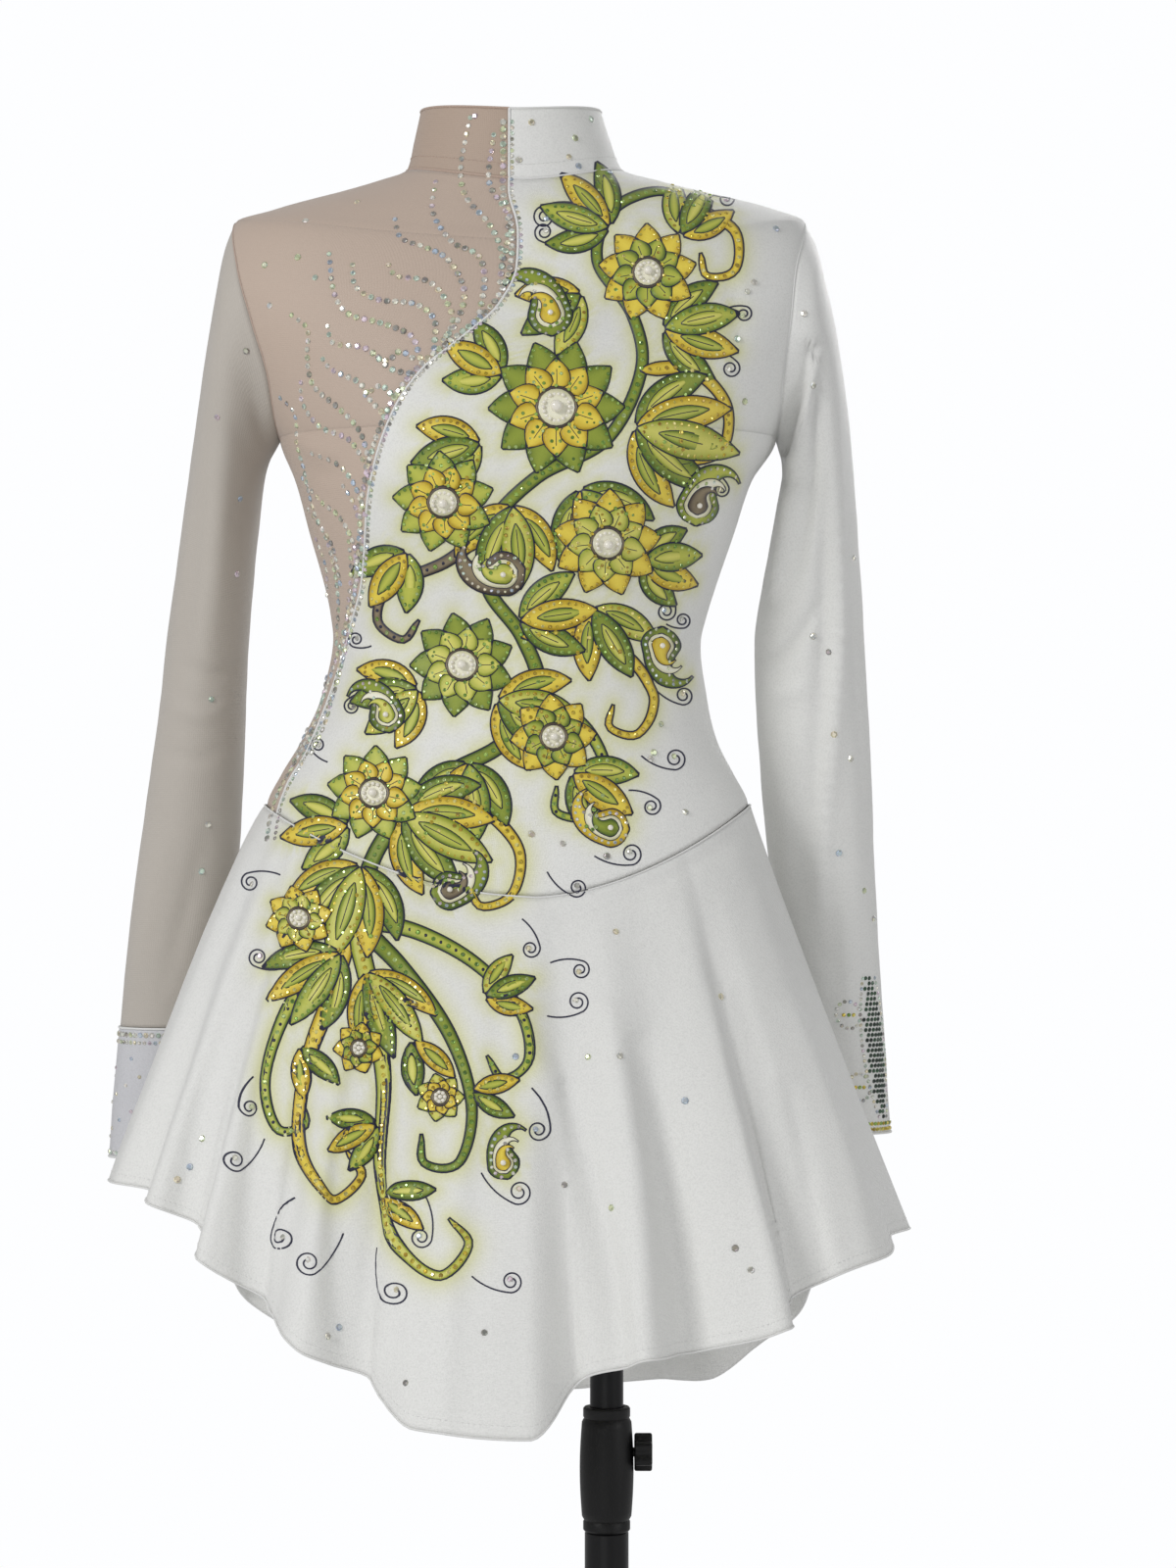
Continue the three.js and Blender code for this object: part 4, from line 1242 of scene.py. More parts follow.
@dataclass
class Dress:
    """All the cloth of the dress: its panels, skirt, sleeves and brief."""

    row: float = 3.0
    sheets: dict[str, Sheet] = field(default_factory=dict)

    def add(self, name: str, plain: Array, outward: int, **extra: Any) -> None:
        """Keeps one more piece of cloth."""
        self.sheets[name] = Sheet(name, plain, outward, **extra)

    def shape(self) -> None:
        """Shapes every piece."""
        self.shape_bodice()
        self.shape_collar()
        self.shape_sleeves()
        self.shape_skirt()

    def shape_bodice(self) -> None:
        """The front's two panels, the back's two, and the zip's tape between them."""
        rings = bodice_rings(self.row)
        front, back = Face.FRONT, Face.BACK
        fronts = {
            "front_left": (columns(96), lambda side: (mesh_edge(side), 1.0)),
            "front_right_mesh": (columns(60), lambda side: (-1.0, mesh_edge(side))),
        }
        for name, (count, edges) in fronts.items():
            plain = soft_shoulder(panel(rings, front, count, edges), rings)
            self.add(name, plain, 1, creases=BODICE_CREASES)
        backs = {
            "back_left": lambda side: (zip_edge(side, 1), 1.0),
            "back_right": lambda side: (-1.0, zip_edge(side, -1)),
        }
        for name, edges in backs.items():
            plain = soft_shoulder(panel(rings, back, columns(66), edges), rings)
            self.add(name, plain, -1, creases=BODICE_CREASES)
        tape = [side for side in rings if side >= ZIP_END] + spread(NECK, COLLAR_TOP, self.row)[1:]

        def tape_edges(side: float) -> Plane:
            """The tape's two edges at a ring."""
            return Figure.across_at(-ZIP_TAPE, side, back), Figure.across_at(ZIP_TAPE, side, back)

        self.add("zip_tape", panel(tape, back, 4, tape_edges), -1, unevenness=0.0)

    def shape_collar(self) -> None:
        """The stand collar's two halves, from the front edge round to the zip."""
        for name, direction in (("collar_left", 1), ("collar_right_mesh", -1)):
            rows = []
            for side in spread(NECK, COLLAR_TOP, 2.0):
                fore = np.linspace(mesh_edge(side), direction, columns(48) + 1)
                front = Figure.points(fore, side, Face.FRONT)
                rear = np.linspace(direction, zip_edge(side, direction), columns(40) + 1)
                back = Figure.points(rear, side, Face.BACK)
                back[0, 1] = 0
                rows.append(np.concatenate([front[:-1], back]))
            self.add(name, np.array(rows), direction, unevenness=0.3)

    def shape_sleeves(self) -> None:
        """The two long sleeves and the right one's cuff."""
        count = columns(88) // 2 * 2
        names = {Side.LEFT: "sleeve_left", Side.RIGHT: "sleeve_right_mesh"}
        creases = {Side.LEFT: LEFT_SLEEVE_CREASES, Side.RIGHT: RIGHT_SLEEVE_CREASES}
        for side, name in names.items():
            rings = sleeve_rings(SLEEVES[side], side, count)
            rings = np.concatenate([armhole_ring(side, count)[None], rings])
            self.add(name, loft(rings, 3.4), side.value, ring=True, creases=creases[side], unevenness=0.5)
        cuff = loft(sleeve_rings(CUFF, Side.RIGHT, count), 2.6)
        self.add("cuff_right", cuff, Side.RIGHT.value, ring=True, unevenness=0.4)

    def shape_skirt(self) -> None:
        """The skirt's two panels and the brief under them."""
        across = np.linspace(-1, 1, columns(230) + 1)
        down = np.array(spread(0, 1, 0.012))
        for face, name in ((Face.FRONT, "skirt_front"), (Face.BACK, "skirt_back")):
            plain = skirt_points(face, across, down)
            self.add(name, plain, face.value, creases=SKIRT_CREASES, unevenness=0.8)
        rings = FIGURE.between(CROTCH, 802) + spread(808, LEG_TOP, 5) + spread(LEG_TOP, SEAM, 9)[1:]
        for face, name in ((Face.FRONT, "brief_front"), (Face.BACK, "brief_back")):
            column = face.name.lower()

            def edges(side: float) -> Plane:
                """The brief's two edges at a ring."""
                if side >= LEG_TOP or side <= CROTCH:
                    return (-1.0, 1.0)
                reach = Figure.section(side)["shift"] + float(LEG.read(column, side)[0])
                edge = Figure.across_at(reach, side, face)
                return (-edge, edge)

            plain = panel(rings, face, columns(64), edges)
            plain[-1, :, 2] -= BRIEF_DROP
            self.add(name, plain, -face.value, unevenness=0.0)

    def build(self, finishes: dict[str, Material]) -> dict[str, Piece]:
        """Makes every piece.

        Args:
            finishes: The material for each piece's name or cloth.

        Returns:
            The pieces, by their CAD nodes' names.
        """
        cloths = {
            "front_right_mesh": Cloth.MESH, "collar_right_mesh": Cloth.MESH,
            "sleeve_right_mesh": Cloth.SLEEVE_MESH, "cuff_right": Cloth.CUFF, "zip_tape": Cloth.ZIP,
        }
        held = {"cuff_right": "sleeve_right_mesh"}
        built = {}
        for name, sheet in self.sheets.items():
            cloth = cloths.get(name, Cloth.SATIN)
            finish = finishes.get(name, finishes[cloth.value])
            built[name] = sheet.build(finish, cloth.value, [held.get(name, "dress_form")])
        return built


# ---------------------------------------------------------------- the painted motifs


NAVY = srgb(30, 32, 62)


class Hue(Enum):
    """A painted colour: its shade at the edge and along the middle."""

    GREEN = (srgb(74, 100, 26), srgb(150, 164, 58))
    LEAF = (srgb(96, 124, 34), srgb(196, 200, 84))
    LIME = (srgb(146, 160, 40), srgb(222, 218, 112))
    YELLOW = (srgb(190, 158, 22), srgb(238, 216, 84))
    BROWN = (srgb(78, 66, 56), srgb(150, 136, 108))
    CREAM = (srgb(222, 218, 178), srgb(246, 244, 228))
    NAVY = (NAVY, NAVY)

    @property
    def gem(self) -> "Gem":
        """The stones that go with the colour."""
        return Gem.CITRINE if self in (Hue.YELLOW, Hue.LIME) else Gem.PERIDOT


class Gem(Enum):
    """What is glued on, by its place in the pieces' names."""

    CRYSTAL = "crystal"
    PERIDOT = "peridot"
    CITRINE = "citrine"
    EMERALD = "emerald"
    PEARL = "pearl"


@dataclass
class Stroke:
    """A painted shape with a spine and a half width along it, in view millimetres."""

    spine: Array
    half: Array
    hue: Hue
    lift: Array | None = None

    def outlined(self, rim: float = 0.75) -> list["Stroke"]:
        """This shape over a slightly wider dark one."""
        ends = unit(self.spine[[0, -1]] - self.spine[[1, -2]])
        spine = np.vstack([self.spine[0] + ends[0] * rim, self.spine[1:-1], self.spine[-1] + ends[1] * rim])
        return [Stroke(spine, self.half + rim, Hue.NAVY), self]

    def edge_points(self, inset: float, spacing: float) -> list[Plane]:
        """Places inside both edges, evenly spaced."""
        places = []
        side = edge_normals(self.spine)
        for hand in (-1, 1):
            line = self.spine + side * (hand * np.maximum(self.half - inset, 0))[:, None]
            count = max(2, round(length_of(line) / spacing))
            places += [tuple(p) for p in curve_through(line, count + 1)[1:-1]]
        return places


def edge_normals(spine: Array) -> Array:
    """The directions square to a flat line, at its points."""
    along = unit(np.gradient(spine, axis=0))
    return np.stack([-along[:, 1], along[:, 0]], axis=1)


def stepped(start: Sequence[float], heading: float, length: float) -> Array:
    """The place that lies a length away at a heading."""
    angle = math.radians(heading)
    return np.array(start) + np.array([math.cos(angle), math.sin(angle)]) * length


# The stems of the design: colour, half width at the start and end, and then the places along it
STEMS = """
GREEN 2.6 4.6 118 1352 92 1364 62 1352 52 1320 74 1286 80 1250 58 1206 14 1182 -16 1150 -18 1112 4 1080 14
1046 -8 1012 -50 988 -86 948 -104 900 / YELLOW 4.2 1.5 80 1250 112 1250 134 1228 132 1200 112 1192 104
1208 114 1216 / BROWN 3.8 1.5 -16 1150 -44 1128 -80 1112 -88 1090 -72 1078 -62 1090 / YELLOW 4.2 1.5 4
1080 36 1082 70 1068 88 1042 78 1018 60 1022 62 1036 / LEAF 4 1.5 14 1046 46 1020 58 990 46 966 26 968 26
984 / YELLOW 4.2 1.6 -50 988 -20 970 2 944 -2 916 -22 908 -30 922 / LEAF 5 1.6 -104 900 -126 868 -148 838
-160 798 -152 766 -134 768 -137 786 / YELLOW 5.4 1.7 -104 900 -118 850 -134 800 -136 750 -116 722 -98 736
-106 752 / LIME 5.8 1.8 -104 900 -92 850 -84 796 -86 740 -74 692 -48 672 -30 692 -42 708 / GREEN 5.2 1.6
-104 900 -72 868 -42 826 -28 780 -36 744 -58 744 -60 762 / LEAF 4.8 1.6 -104 900 -64 892 -26 872 2 842 8
810 -8 798 -18 812 / YELLOW 3.2 1.4 118 1352 140 1338 140 1314 122 1310 118 1324
"""
# Fans of leaves: base, middle heading, leaves, the angle between them, the middle leaf's length and half
# width, and whether the first is green
FANS = """
62 1340 148 4 32 46 8.5 1 / 104 1334 60 3 36 38 8 0 / 44 1300 214 3 34 44 9 0 / 92 1276 -2 4 30 50 9.5 1 /
74 1214 -14 5 27 66 11.5 0 / -6 1246 152 3 34 40 9 1 / -20 1204 196 3 32 44 9.5 0 /
40 1176 -62 4 28 56 10.5 1 / -2 1166 -98 4 28 54 10.5 0 / 78 1128 -8 4 30 38 9 1 /
-68 1136 236 3 34 40 9 1 / 48 1100 -60 3 34 48 9.5 0 / 0 1090 8 3 34 48 9.5 1 / -60 1048 206 4 30 44 9.5 0 /
-14 1040 -24 4 28 54 10.5 0 / -30 1002 262 4 28 52 10.5 1 / 34 994 -34 3 34 44 9.5 1 /
-74 968 -28 5 26 62 11 0 / -104 960 190 3 34 42 9 1 / -98 936 252 5 24 62 10.5 0 /
-110 880 224 4 24 56 8.5 1 / -96 868 -62 4 22 58 8.5 0 / -138 820 -64 2 40 32 6.5 0 /
-86 770 206 3 34 34 6.5 1 / -66 824 -64 2 44 34 6.5 1 / -84 724 -18 2 50 30 6 0 / -22 850 20 3 36 32 6.5 0 /
-30 790 -8 2 44 30 6 1
"""
# Blossoms: middle, radius, petals, turn, and the colours of the outer and inner petals
BLOSSOMS = """
84 1312 31 9 10 YELLOW LEAF / 26 1226 43 10 0 GREEN YELLOW / -46 1166 32 9 14 LEAF YELLOW /
58 1140 34 9 6 YELLOW LIME / -34 1062 33 9 20 GREEN LIME / 24 1016 27 8 4 YELLOW LEAF /
-90 980 30 9 8 LEAF YELLOW / -138 900 21 8 12 YELLOW LIME / -100 818 16 7 30 YELLOW LEAF /
-48 786 15 7 0 LIME YELLOW
"""
# Paisley drops: the middle of the round head, its radius, the tail's heading, its length and curl, and
# the outer and inner colours
PAISLEYS = """
22 1286 14 96 62 60 GREEN YELLOW / 116 1164 13 84 56 -62 LEAF BROWN / -8 1120 14 196 58 -64 BROWN LIME /
92 1074 12 262 52 60 GREEN YELLOW / -82 1030 11 100 50 60 GREEN LIME / 60 958 12 176 52 -60 YELLOW GREEN /
-42 918 12 8 54 62 GREEN BROWN / -8 744 10 110 46 -60 GREEN YELLOW
"""
# Tendrils: start, heading, length before the curl, the curl's radius and its hand
TENDRILS = """
40 1356 168 26 7 1 / 36 1330 190 22 6 -1 / 118 1352 60 20 6 -1 / 136 1290 20 12 5 -1 /
128 1262 -10 16 6 -1 / 128 1184 -30 12 5 -1 / 98 1112 -60 18 6 -1 / 96 1088 -30 12 5 1 /
88 1048 -50 22 6 1 / 80 1004 -40 24 7 1 / 72 982 0 20 6 -1 / 50 940 -30 26 7 1 / 20 930 -60 24 6 1 /
4 900 -40 22 6 -1 / -92 1074 200 12 5 -1 / -98 1044 190 12 5 1 / -120 1000 160 14 5 -1 /
-150 928 160 22 6 1 / -150 868 190 18 6 -1 / -168 800 230 22 6 1 / -160 760 250 26 7 -1 /
-140 722 220 30 8 1 / -108 700 250 34 8 -1 / -88 690 262 34 8 1 / -28 672 -40 28 7 1 / -22 738 -60 30 8 1 /
10 792 -50 30 7 -1 / 20 838 -10 24 7 1 / 22 872 20 22 6 -1 / -58 724 -64 30 7 -1
"""


@dataclass
class Pile:
    """How high the paint already lies, on a fine grid of the view's plane."""

    low: Plane = (-260.0, 600.0)
    size: Plane = (460.0, 840.0)
    step: float = 0.03
    heights: Array = field(init=False)

    def __post_init__(self) -> None:
        """Starts with bare cloth."""
        self.heights = np.zeros((int(self.size[0]), int(self.size[1])))

    def cells(self, points: Array) -> tuple[Array, Array]:
        """The grid's cells under places."""
        where = np.round(np.asarray(points) - self.low).astype(int)
        limits = np.array(self.heights.shape) - 1
        where = np.clip(where, 0, limits)
        return where[..., 0], where[..., 1]

    def lay(self, points: Array) -> Array:
        """Lays one more coat over rows of places, and gives each row's height."""
        cells = self.cells(points)
        rows = self.heights[cells].max(axis=1)
        ends = np.pad(rows, 1, mode="edge")
        tops = np.maximum(np.maximum(ends[:-2], ends[2:]), rows) + self.step
        np.maximum.at(self.heights, cells, np.broadcast_to(tops[:, None], cells[0].shape))
        return tops

    def at(self, spot: Plane) -> float:
        """The height of the paint at a place, 0 on bare cloth."""
        return float(self.heights[self.cells(np.array(spot))])


@dataclass
class Artwork:
    """A flowing design of leaves, blossoms, paisley drops and tendrils, painted on the satin."""

    groups: dict[str, list[Stroke]] = field(default_factory=dict)
    gems: list[tuple[Plane, float, Gem]] = field(default_factory=list)
    pile: Pile = field(default_factory=Pile)
    strokes: list[Stroke] = field(default_factory=list)
    base_lift: float = 0.16
    film: float = 0.5

    def draw(self) -> None:
        """Draws the whole design in the view's plane."""
        kinds = (
            ("tendrils", TENDRILS, self.tendril), ("stems", STEMS, self.stem), ("leaves", FANS, self.fan),
            ("paisleys", PAISLEYS, self.paisley), ("blossoms", BLOSSOMS, self.blossom),
        )
        for name, table, method in kinds:
            self.strokes = self.groups.setdefault(name, [])
            for row in rows_of(table):
                method(*(Hue[cell] if isinstance(cell, str) else cell for cell in row))

    def paint(self, stroke: Stroke, rim: float) -> None:
        """Lays a stroke over a slightly wider dark one."""
        for coat in (stroke.outlined(rim) if rim > 0 else [stroke]):
            side = edge_normals(coat.spine)
            shares = np.linspace(-1, 1, 2 * math.ceil(coat.half.max()) + 3)
            points = coat.spine[:, None] + side[:, None] * (coat.half[:, None] * shares)[..., None]
            coat.lift = self.base_lift + self.pile.lay(points)
            self.strokes.append(coat)

    def set_row(self, spots: Sequence[Plane], size: float, gem: Gem) -> None:
        """Notes a row of stones."""
        self.gems += [(tuple(spot), size, gem) for spot in spots]

    def fan(
        self, x: float, z: float, heading: float, count: int, between: float, length: float, half: float,
        green: int,
    ) -> None:
        """Leaves that spread from one place, the middle one longest."""
        hues = (Hue.GREEN, Hue.YELLOW, Hue.LEAF) if green else (Hue.YELLOW, Hue.GREEN, Hue.LIME)
        order = sorted(range(count), key=lambda k: -abs(k - (count - 1) / 2))
        for k in order:
            off = k - (count - 1) / 2
            share = 1 - 0.09 * abs(off)
            course = heading + off * between
            self.leaf(stepped((x, z), course, 4), course, length * share, half * share, -off * 9, hues[k % 3])

    def leaf(self, base: Array, heading: float, length: float, half: float, bend: float, hue: Hue) -> None:
        """A pointed leaf with a lighter leaf inside it, a vein, and stones along its edge."""
        spine = self.bent(base, heading, length, bend)
        outer = Stroke(spine, half * self.pointed(len(spine)), hue)
        self.paint(outer, 1.0)
        inside = self.bent(spine[len(spine) // 5], heading, length * 0.6, bend * 0.6)
        light = Hue.LIME if hue in (Hue.GREEN, Hue.LEAF) else Hue.LEAF
        self.paint(Stroke(inside, half * 0.42 * self.pointed(len(inside)), light), 0.55)
        if length > 40:
            self.paint(Stroke(inside[1:-2], np.full(len(inside) - 3, 0.28), Hue.NAVY), 0)
        self.set_row(outer.edge_points(2.2, 4.6), 1.35, hue.gem)

    def stem(self, hue: Hue, start: float, end: float, *places: float) -> None:
        """A curling stem, with a row of stones or dark dots along it."""
        points = pairs(places)
        rough = curve_through(points, 40)
        spine = curve_through(points, max(12, round(length_of(rough) / 3.0)))
        share = np.linspace(0, 1, len(spine))
        blunt = np.minimum(1, np.sqrt(np.minimum(share * 14, (1 - share) * 20)))
        half = (start + (end - start) * share) * blunt
        self.paint(Stroke(spine, np.maximum(half, 0.2), hue), 1.0)
        spots = curve_through(spine, round(length_of(spine) / 5.4) + 1)[1:-1]
        if hue in (Hue.BROWN, Hue.LEAF):
            for spot in spots[::2]:
                self.disc(tuple(spot), 1.1, Hue.NAVY)
            spots = spots[1::2]
        self.set_row(spots, 1.6, hue.gem)

    def blossom(
        self, x: float, z: float, radius: float, petals: int, turn: float, outer: Hue, inner: Hue,
    ) -> None:
        """A flower of pointed petals round a disc of pearls."""
        middle = (x, z)
        width = radius * math.sin(math.pi / petals) * 0.86
        rings = ((outer, 1.0, 1.0, 0.0), (inner, 0.72, 0.74, 0.5))
        for hue, reach, wide, off in rings:
            for k in range(petals):
                heading = turn + (k + off) * 360 / petals
                base = stepped(middle, heading, radius * 0.26)
                spine = self.bent(base, heading, radius * (reach - 0.26), 4)
                petal = Stroke(spine, width * wide * self.pointed(len(spine), 0.5), hue)
                self.paint(petal, 0.8)
                if reach == 1:
                    self.set_row(petal.edge_points(1.9, 4.2), 1.2, hue.gem)
                else:
                    self.paint(Stroke(spine[1:-2], np.full(len(spine) - 3, 0.25), Hue.NAVY), 0)
        core = radius * 0.27
        self.disc(middle, core + 1.6, Hue.BROWN)
        self.disc(middle, core, Hue.CREAM)
        self.gems.append((middle, core * 0.34, Gem.PEARL))
        around = max(7, round(2 * math.pi * core * 0.72 / 3.0))
        for k in range(around):
            spot = stepped(middle, k * 360 / around, core * 0.72)
            self.gems.append((tuple(spot), 1.25, Gem.PEARL))

    def paisley(
        self, x: float, z: float, radius: float, heading: float, length: float, curl: float, hue: Hue,
        inner: Hue,
    ) -> None:
        """A drop with a curling tail, smaller ones inside it, and stones round its edge."""
        middle = (x, z)
        for share, colour in ((1.0, hue), (0.66, Hue.CREAM), (0.46, inner)):
            count = 24
            path = [stepped(middle, heading, -radius * share)]
            for i in range(count):
                course = heading + curl * max(i / count - 0.25, 0) ** 1.5 * 4
                path.append(stepped(path[-1], course, length * share / count))
            spine = np.array(path)
            along = np.linspace(0, length, count + 1)
            head = np.sqrt(np.clip(2 * radius * along - along * along, 0, None))
            tail = radius * np.clip((length - along) / (length - radius), 0, 1) ** 1.1
            half = np.where(along < radius, head, tail) * share
            stroke = Stroke(spine, np.maximum(half, 0.15), colour)
            self.paint(stroke, 0.9 if share == 1 else 0.6)
            if share == 1.0:
                self.set_row(stroke.edge_points(2.2, 4.4), 1.25, Gem.CRYSTAL)
        self.gems.append((middle, 1.8, Gem.PEARL))

    def tendril(self, x: float, z: float, heading: float, length: float, radius: float, hand: int) -> None:
        """A thin line that ends in a spiral round a stone."""
        path = [np.array((x, z), float)]
        angle = heading
        for _ in range(8):
            path.append(stepped(path[-1], angle, length / 8))
            angle += hand * 5
        turns, points = 1.6, 44
        for i in range(points):
            shrink = radius * (1 - 0.78 * i / points)
            angle += hand * 360 * turns / points
            path.append(stepped(path[-1], angle, 2 * math.pi * shrink * turns / points))
        self.paint(Stroke(np.array(path), np.full(len(path), 0.5), Hue.NAVY), 0)
        self.gems.append((tuple(path[-1]), 1.9, Gem.CRYSTAL))

    def disc(self, middle: Plane, radius: float, hue: Hue) -> None:
        """A round spot."""
        turn = np.linspace(0, math.pi, 7 if radius < 2 else 11)
        spine = np.stack([middle[0] - radius * np.cos(turn), np.full(len(turn), middle[1])], axis=1)
        self.paint(Stroke(spine, radius * np.sin(turn) + 0.02, hue), 0 if hue is Hue.NAVY else 0.5)

    @staticmethod
    def bent(base: Array, heading: float, length: float, bend: float) -> Array:
        """A spine that leaves at a heading and bends to one side."""
        count = max(6, round(length / 3.4))
        path = [base]
        for i in range(count):
            path.append(stepped(path[-1], heading + bend * (i / count * 2 - 0.6), length / count))
        return np.array(path)

    @staticmethod
    def pointed(count: int, belly: float = 0.8) -> Array:
        """A leaf's half widths, from its stalk to its tip."""
        t = np.linspace(0, 1, count)
        shape = t ** belly * (1 - t) ** 0.85
        return np.maximum(shape / shape.max(), 0.02)

    def build(self, surface: Surface, finish: Material) -> list[Array]:
        """Lays the design on the dress, one piece for each kind of motif.

        Args:
            surface: The dress as seen from the front.
            finish: The paint's material.

        Returns:
            The places that it covers, with their half widths.
        """
        covered = []
        for name, strokes in self.groups.items():
            bm = bmesh.new()
            paint = bm.verts.layers.float_color.new("paint")
            for stroke in strokes:
                covered += self.lay_stroke(bm, paint, surface, stroke)
            bm.normal_update()
            inwards = [face for face in bm.faces if face.normal.y > 0]
            bmesh.ops.reverse_faces(bm, faces=inwards)
            piece = new_object(f"painted_{name}", to_mesh(f"painted_{name}", bm))
            film = piece.modifiers.new("film", "SOLIDIFY")
            film.thickness, film.offset, film.use_even_offset = self.film * MM, -1, False
            dress_piece(piece, finish, "white_satin")
            LOG.info("painted_%s: %d strokes", name, len(strokes))
        return covered

    @staticmethod
    def lay_stroke(bm: BMesh, paint: Any, surface: Surface, stroke: Stroke) -> list[Array]:
        """Lays one stroke as a grid on the dress, and gives back the places that it covers."""
        widest = stroke.half.max()
        across = 2 if widest < 1.3 else 4 if widest < 7 else 6
        shares = np.linspace(-1, 1, across + 1)
        side = edge_normals(stroke.spine)
        rows = []
        for spot, out, half, lift in zip(stroke.spine, side, stroke.half, stroke.lift):
            found = [surface.find(*(spot + out * half * s), lift) for s in shares]
            if all(f is not None for f in found):
                rows.append([f[0] for f in found])
        if len(rows) < 2:
            return []
        points = to_metres(np.array(rows))
        made = bmesh.ops.create_grid(bm, x_segments=across, y_segments=len(rows) - 1, size=1)
        edge_colour, core_colour = stroke.hue.value
        for vert in made["verts"]:
            j = round((vert.co.x + 1) / 2 * across)
            i = round((vert.co.y + 1) / 2 * (len(rows) - 1))
            tone = (1 - shares[j] ** 2) * (0.75 + 0.25 * math.sin(i / len(rows) * math.pi))
            vert[paint] = (*(a + (b - a) * tone for a, b in zip(edge_colour, core_colour)), 1)
            vert.co = points[i, j]
        if stroke.hue is Hue.NAVY:
            return []
        return [np.append(row[across // 2], half) for row, half in zip(rows, stroke.half)]


def dress_piece(
    piece: Piece, finish: Material, slot: str, body: str = "dress", nodes: Sequence[str] = (),
) -> None:
    """Gives a piece its material and slot, its body, and the place of CAD nodes."""
    piece.data.materials.append(finish)
    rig.ride(piece, body)
    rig.slot(piece, slot)
    if nodes:
        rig.replaces(piece, *nodes)


def add_halo(piece: Piece, covered: Sequence[Array], reach: float = 6.5) -> None:
    """Gives a piece of cloth its airbrushed halo round the motifs.

    Args:
        piece: The cloth.
        covered: The motifs' places with their half widths, in millimetres.
        reach: How far the halo fades.
    """
    mesh = piece.data
    points = np.zeros(len(mesh.vertices) * 3, np.float32)
    mesh.vertices.foreach_get("co", points)
    points = points.reshape(-1, 3) / MM - (DRESS_X, 0, 0)
    tree = KDTree(len(covered))
    for i, row in enumerate(covered):
        tree.insert(row[:3], i)
    tree.balance()
    halo = np.zeros(len(points), np.float32)
    for i, point in enumerate(points):
        _, index, away = tree.find(point)
        beyond = max(away - covered[index][3], 0)
        halo[i] = 0.62 * math.exp(-((beyond / reach) ** 1.3))
    mesh.attributes.new("halo", "FLOAT", "POINT").data.foreach_set("value", halo)


# ---------------------------------------------------------------- stones, pearls and stitches


@dataclass(frozen=True)
class Place:
    """Where a small thing sits: its point, outward direction and size, and the way it runs."""

    point: Array
    normal: Array
    size: float
    along: Array | None = None


def template(kind: str) -> tuple[Array, list[tuple[int, ...]]]:
    """A small thing's vertices and faces, standing on z = 0 with a radius of one.

    Args:
        kind: stone, pearl, stitch or tooth.

    Returns:
        Its vertices and faces.
    """
    bm = bmesh.new()
    if kind == "stone":
        bmesh.ops.create_cone(bm, cap_ends=True, segments=7, radius1=1, radius2=0.86, depth=0.3)
        top = max(bm.faces, key=lambda face: face.calc_center_median().z)
        bmesh.ops.inset_individual(bm, faces=[top], thickness=0.34, depth=0.26)
        bmesh.ops.translate(bm, verts=bm.verts, vec=(0, 0, 0.15))
    elif kind == "pearl":
        bmesh.ops.create_icosphere(bm, subdivisions=2, radius=1)
        bmesh.ops.translate(bm, verts=bm.verts, vec=(0, 0, 0.75))
    elif kind == "stitch":
        bmesh.ops.create_icosphere(bm, subdivisions=1, radius=1)
        bmesh.ops.scale(bm, vec=(1, 0.2, 0.2), verts=bm.verts)
        bmesh.ops.translate(bm, verts=bm.verts, vec=(0, 0, 0.08))
    else:
        bmesh.ops.create_cube(bm, size=2)
        bmesh.ops.scale(bm, vec=(1, 0.34, 0.4), verts=bm.verts)
        bmesh.ops.bevel(
            bm, geom=bm.edges[:], offset=0.14, segments=1, affect="EDGES", profile=0.5, material=-1,
        )
        bmesh.ops.translate(bm, verts=bm.verts, vec=(0, 0, 0.35))
    bm.normal_update()
    vertices = np.array([v.co[:] for v in bm.verts])
    faces = [tuple(v.index for v in face.verts) for face in bm.faces]
    bm.free()
    return vertices, faces


def scattered(name: str, kind: str, places: Sequence[Place], smooth_shaded: bool) -> Piece:
    """One piece made of many copies of a small thing.

    Args:
        name: The piece's name.
        kind: The template's name.
        places: Where the copies sit.
        smooth_shaded: True for rounded things.

    Returns:
        The piece.
    """
    vertices, faces = template(kind)
    rng = np.random.default_rng(len(places))
    all_points, all_faces = [], []
    for k, place in enumerate(places):
        up = np.asarray(place.normal, float)
        if kind == "stone":
            up = up + rng.normal(size=3) * 0.08
            up /= np.linalg.norm(up)
        along = place.along
        if along is None:
            along = np.cross(up, rng.normal(size=3))
        along = along - up * (along @ up)
        along /= np.linalg.norm(along)
        axes = np.stack([along, np.cross(up, along), up])
        all_points.append(place.point + vertices @ axes * place.size)
        all_faces += [tuple(i + k * len(vertices) for i in face) for face in faces]
    mesh = bpy.data.meshes.new(name)
    mesh.from_pydata(to_metres(np.concatenate(all_points)).tolist(), [], all_faces)
    piece = new_object(name, mesh, smooth_shaded)
    LOG.info("%s: %d", name, len(places))
    return piece


# The display colours that each kind of stone takes its tints from
TINTS = {
    Gem.CRYSTAL: """
242 240 228 / 212 234 216 / 236 214 230 / 248 236 200 / 196 214 236 / 226 236 190 / 250 246 236 / 168 164 158
""",
    Gem.PERIDOT: "170 204 96 / 128 170 62 / 206 226 150 / 96 138 44",
    Gem.CITRINE: "240 220 80 / 214 186 40 / 250 240 150 / 184 150 30",
    Gem.EMERALD: "24 62 38 / 10 34 24 / 48 92 58 / 14 44 32",
}


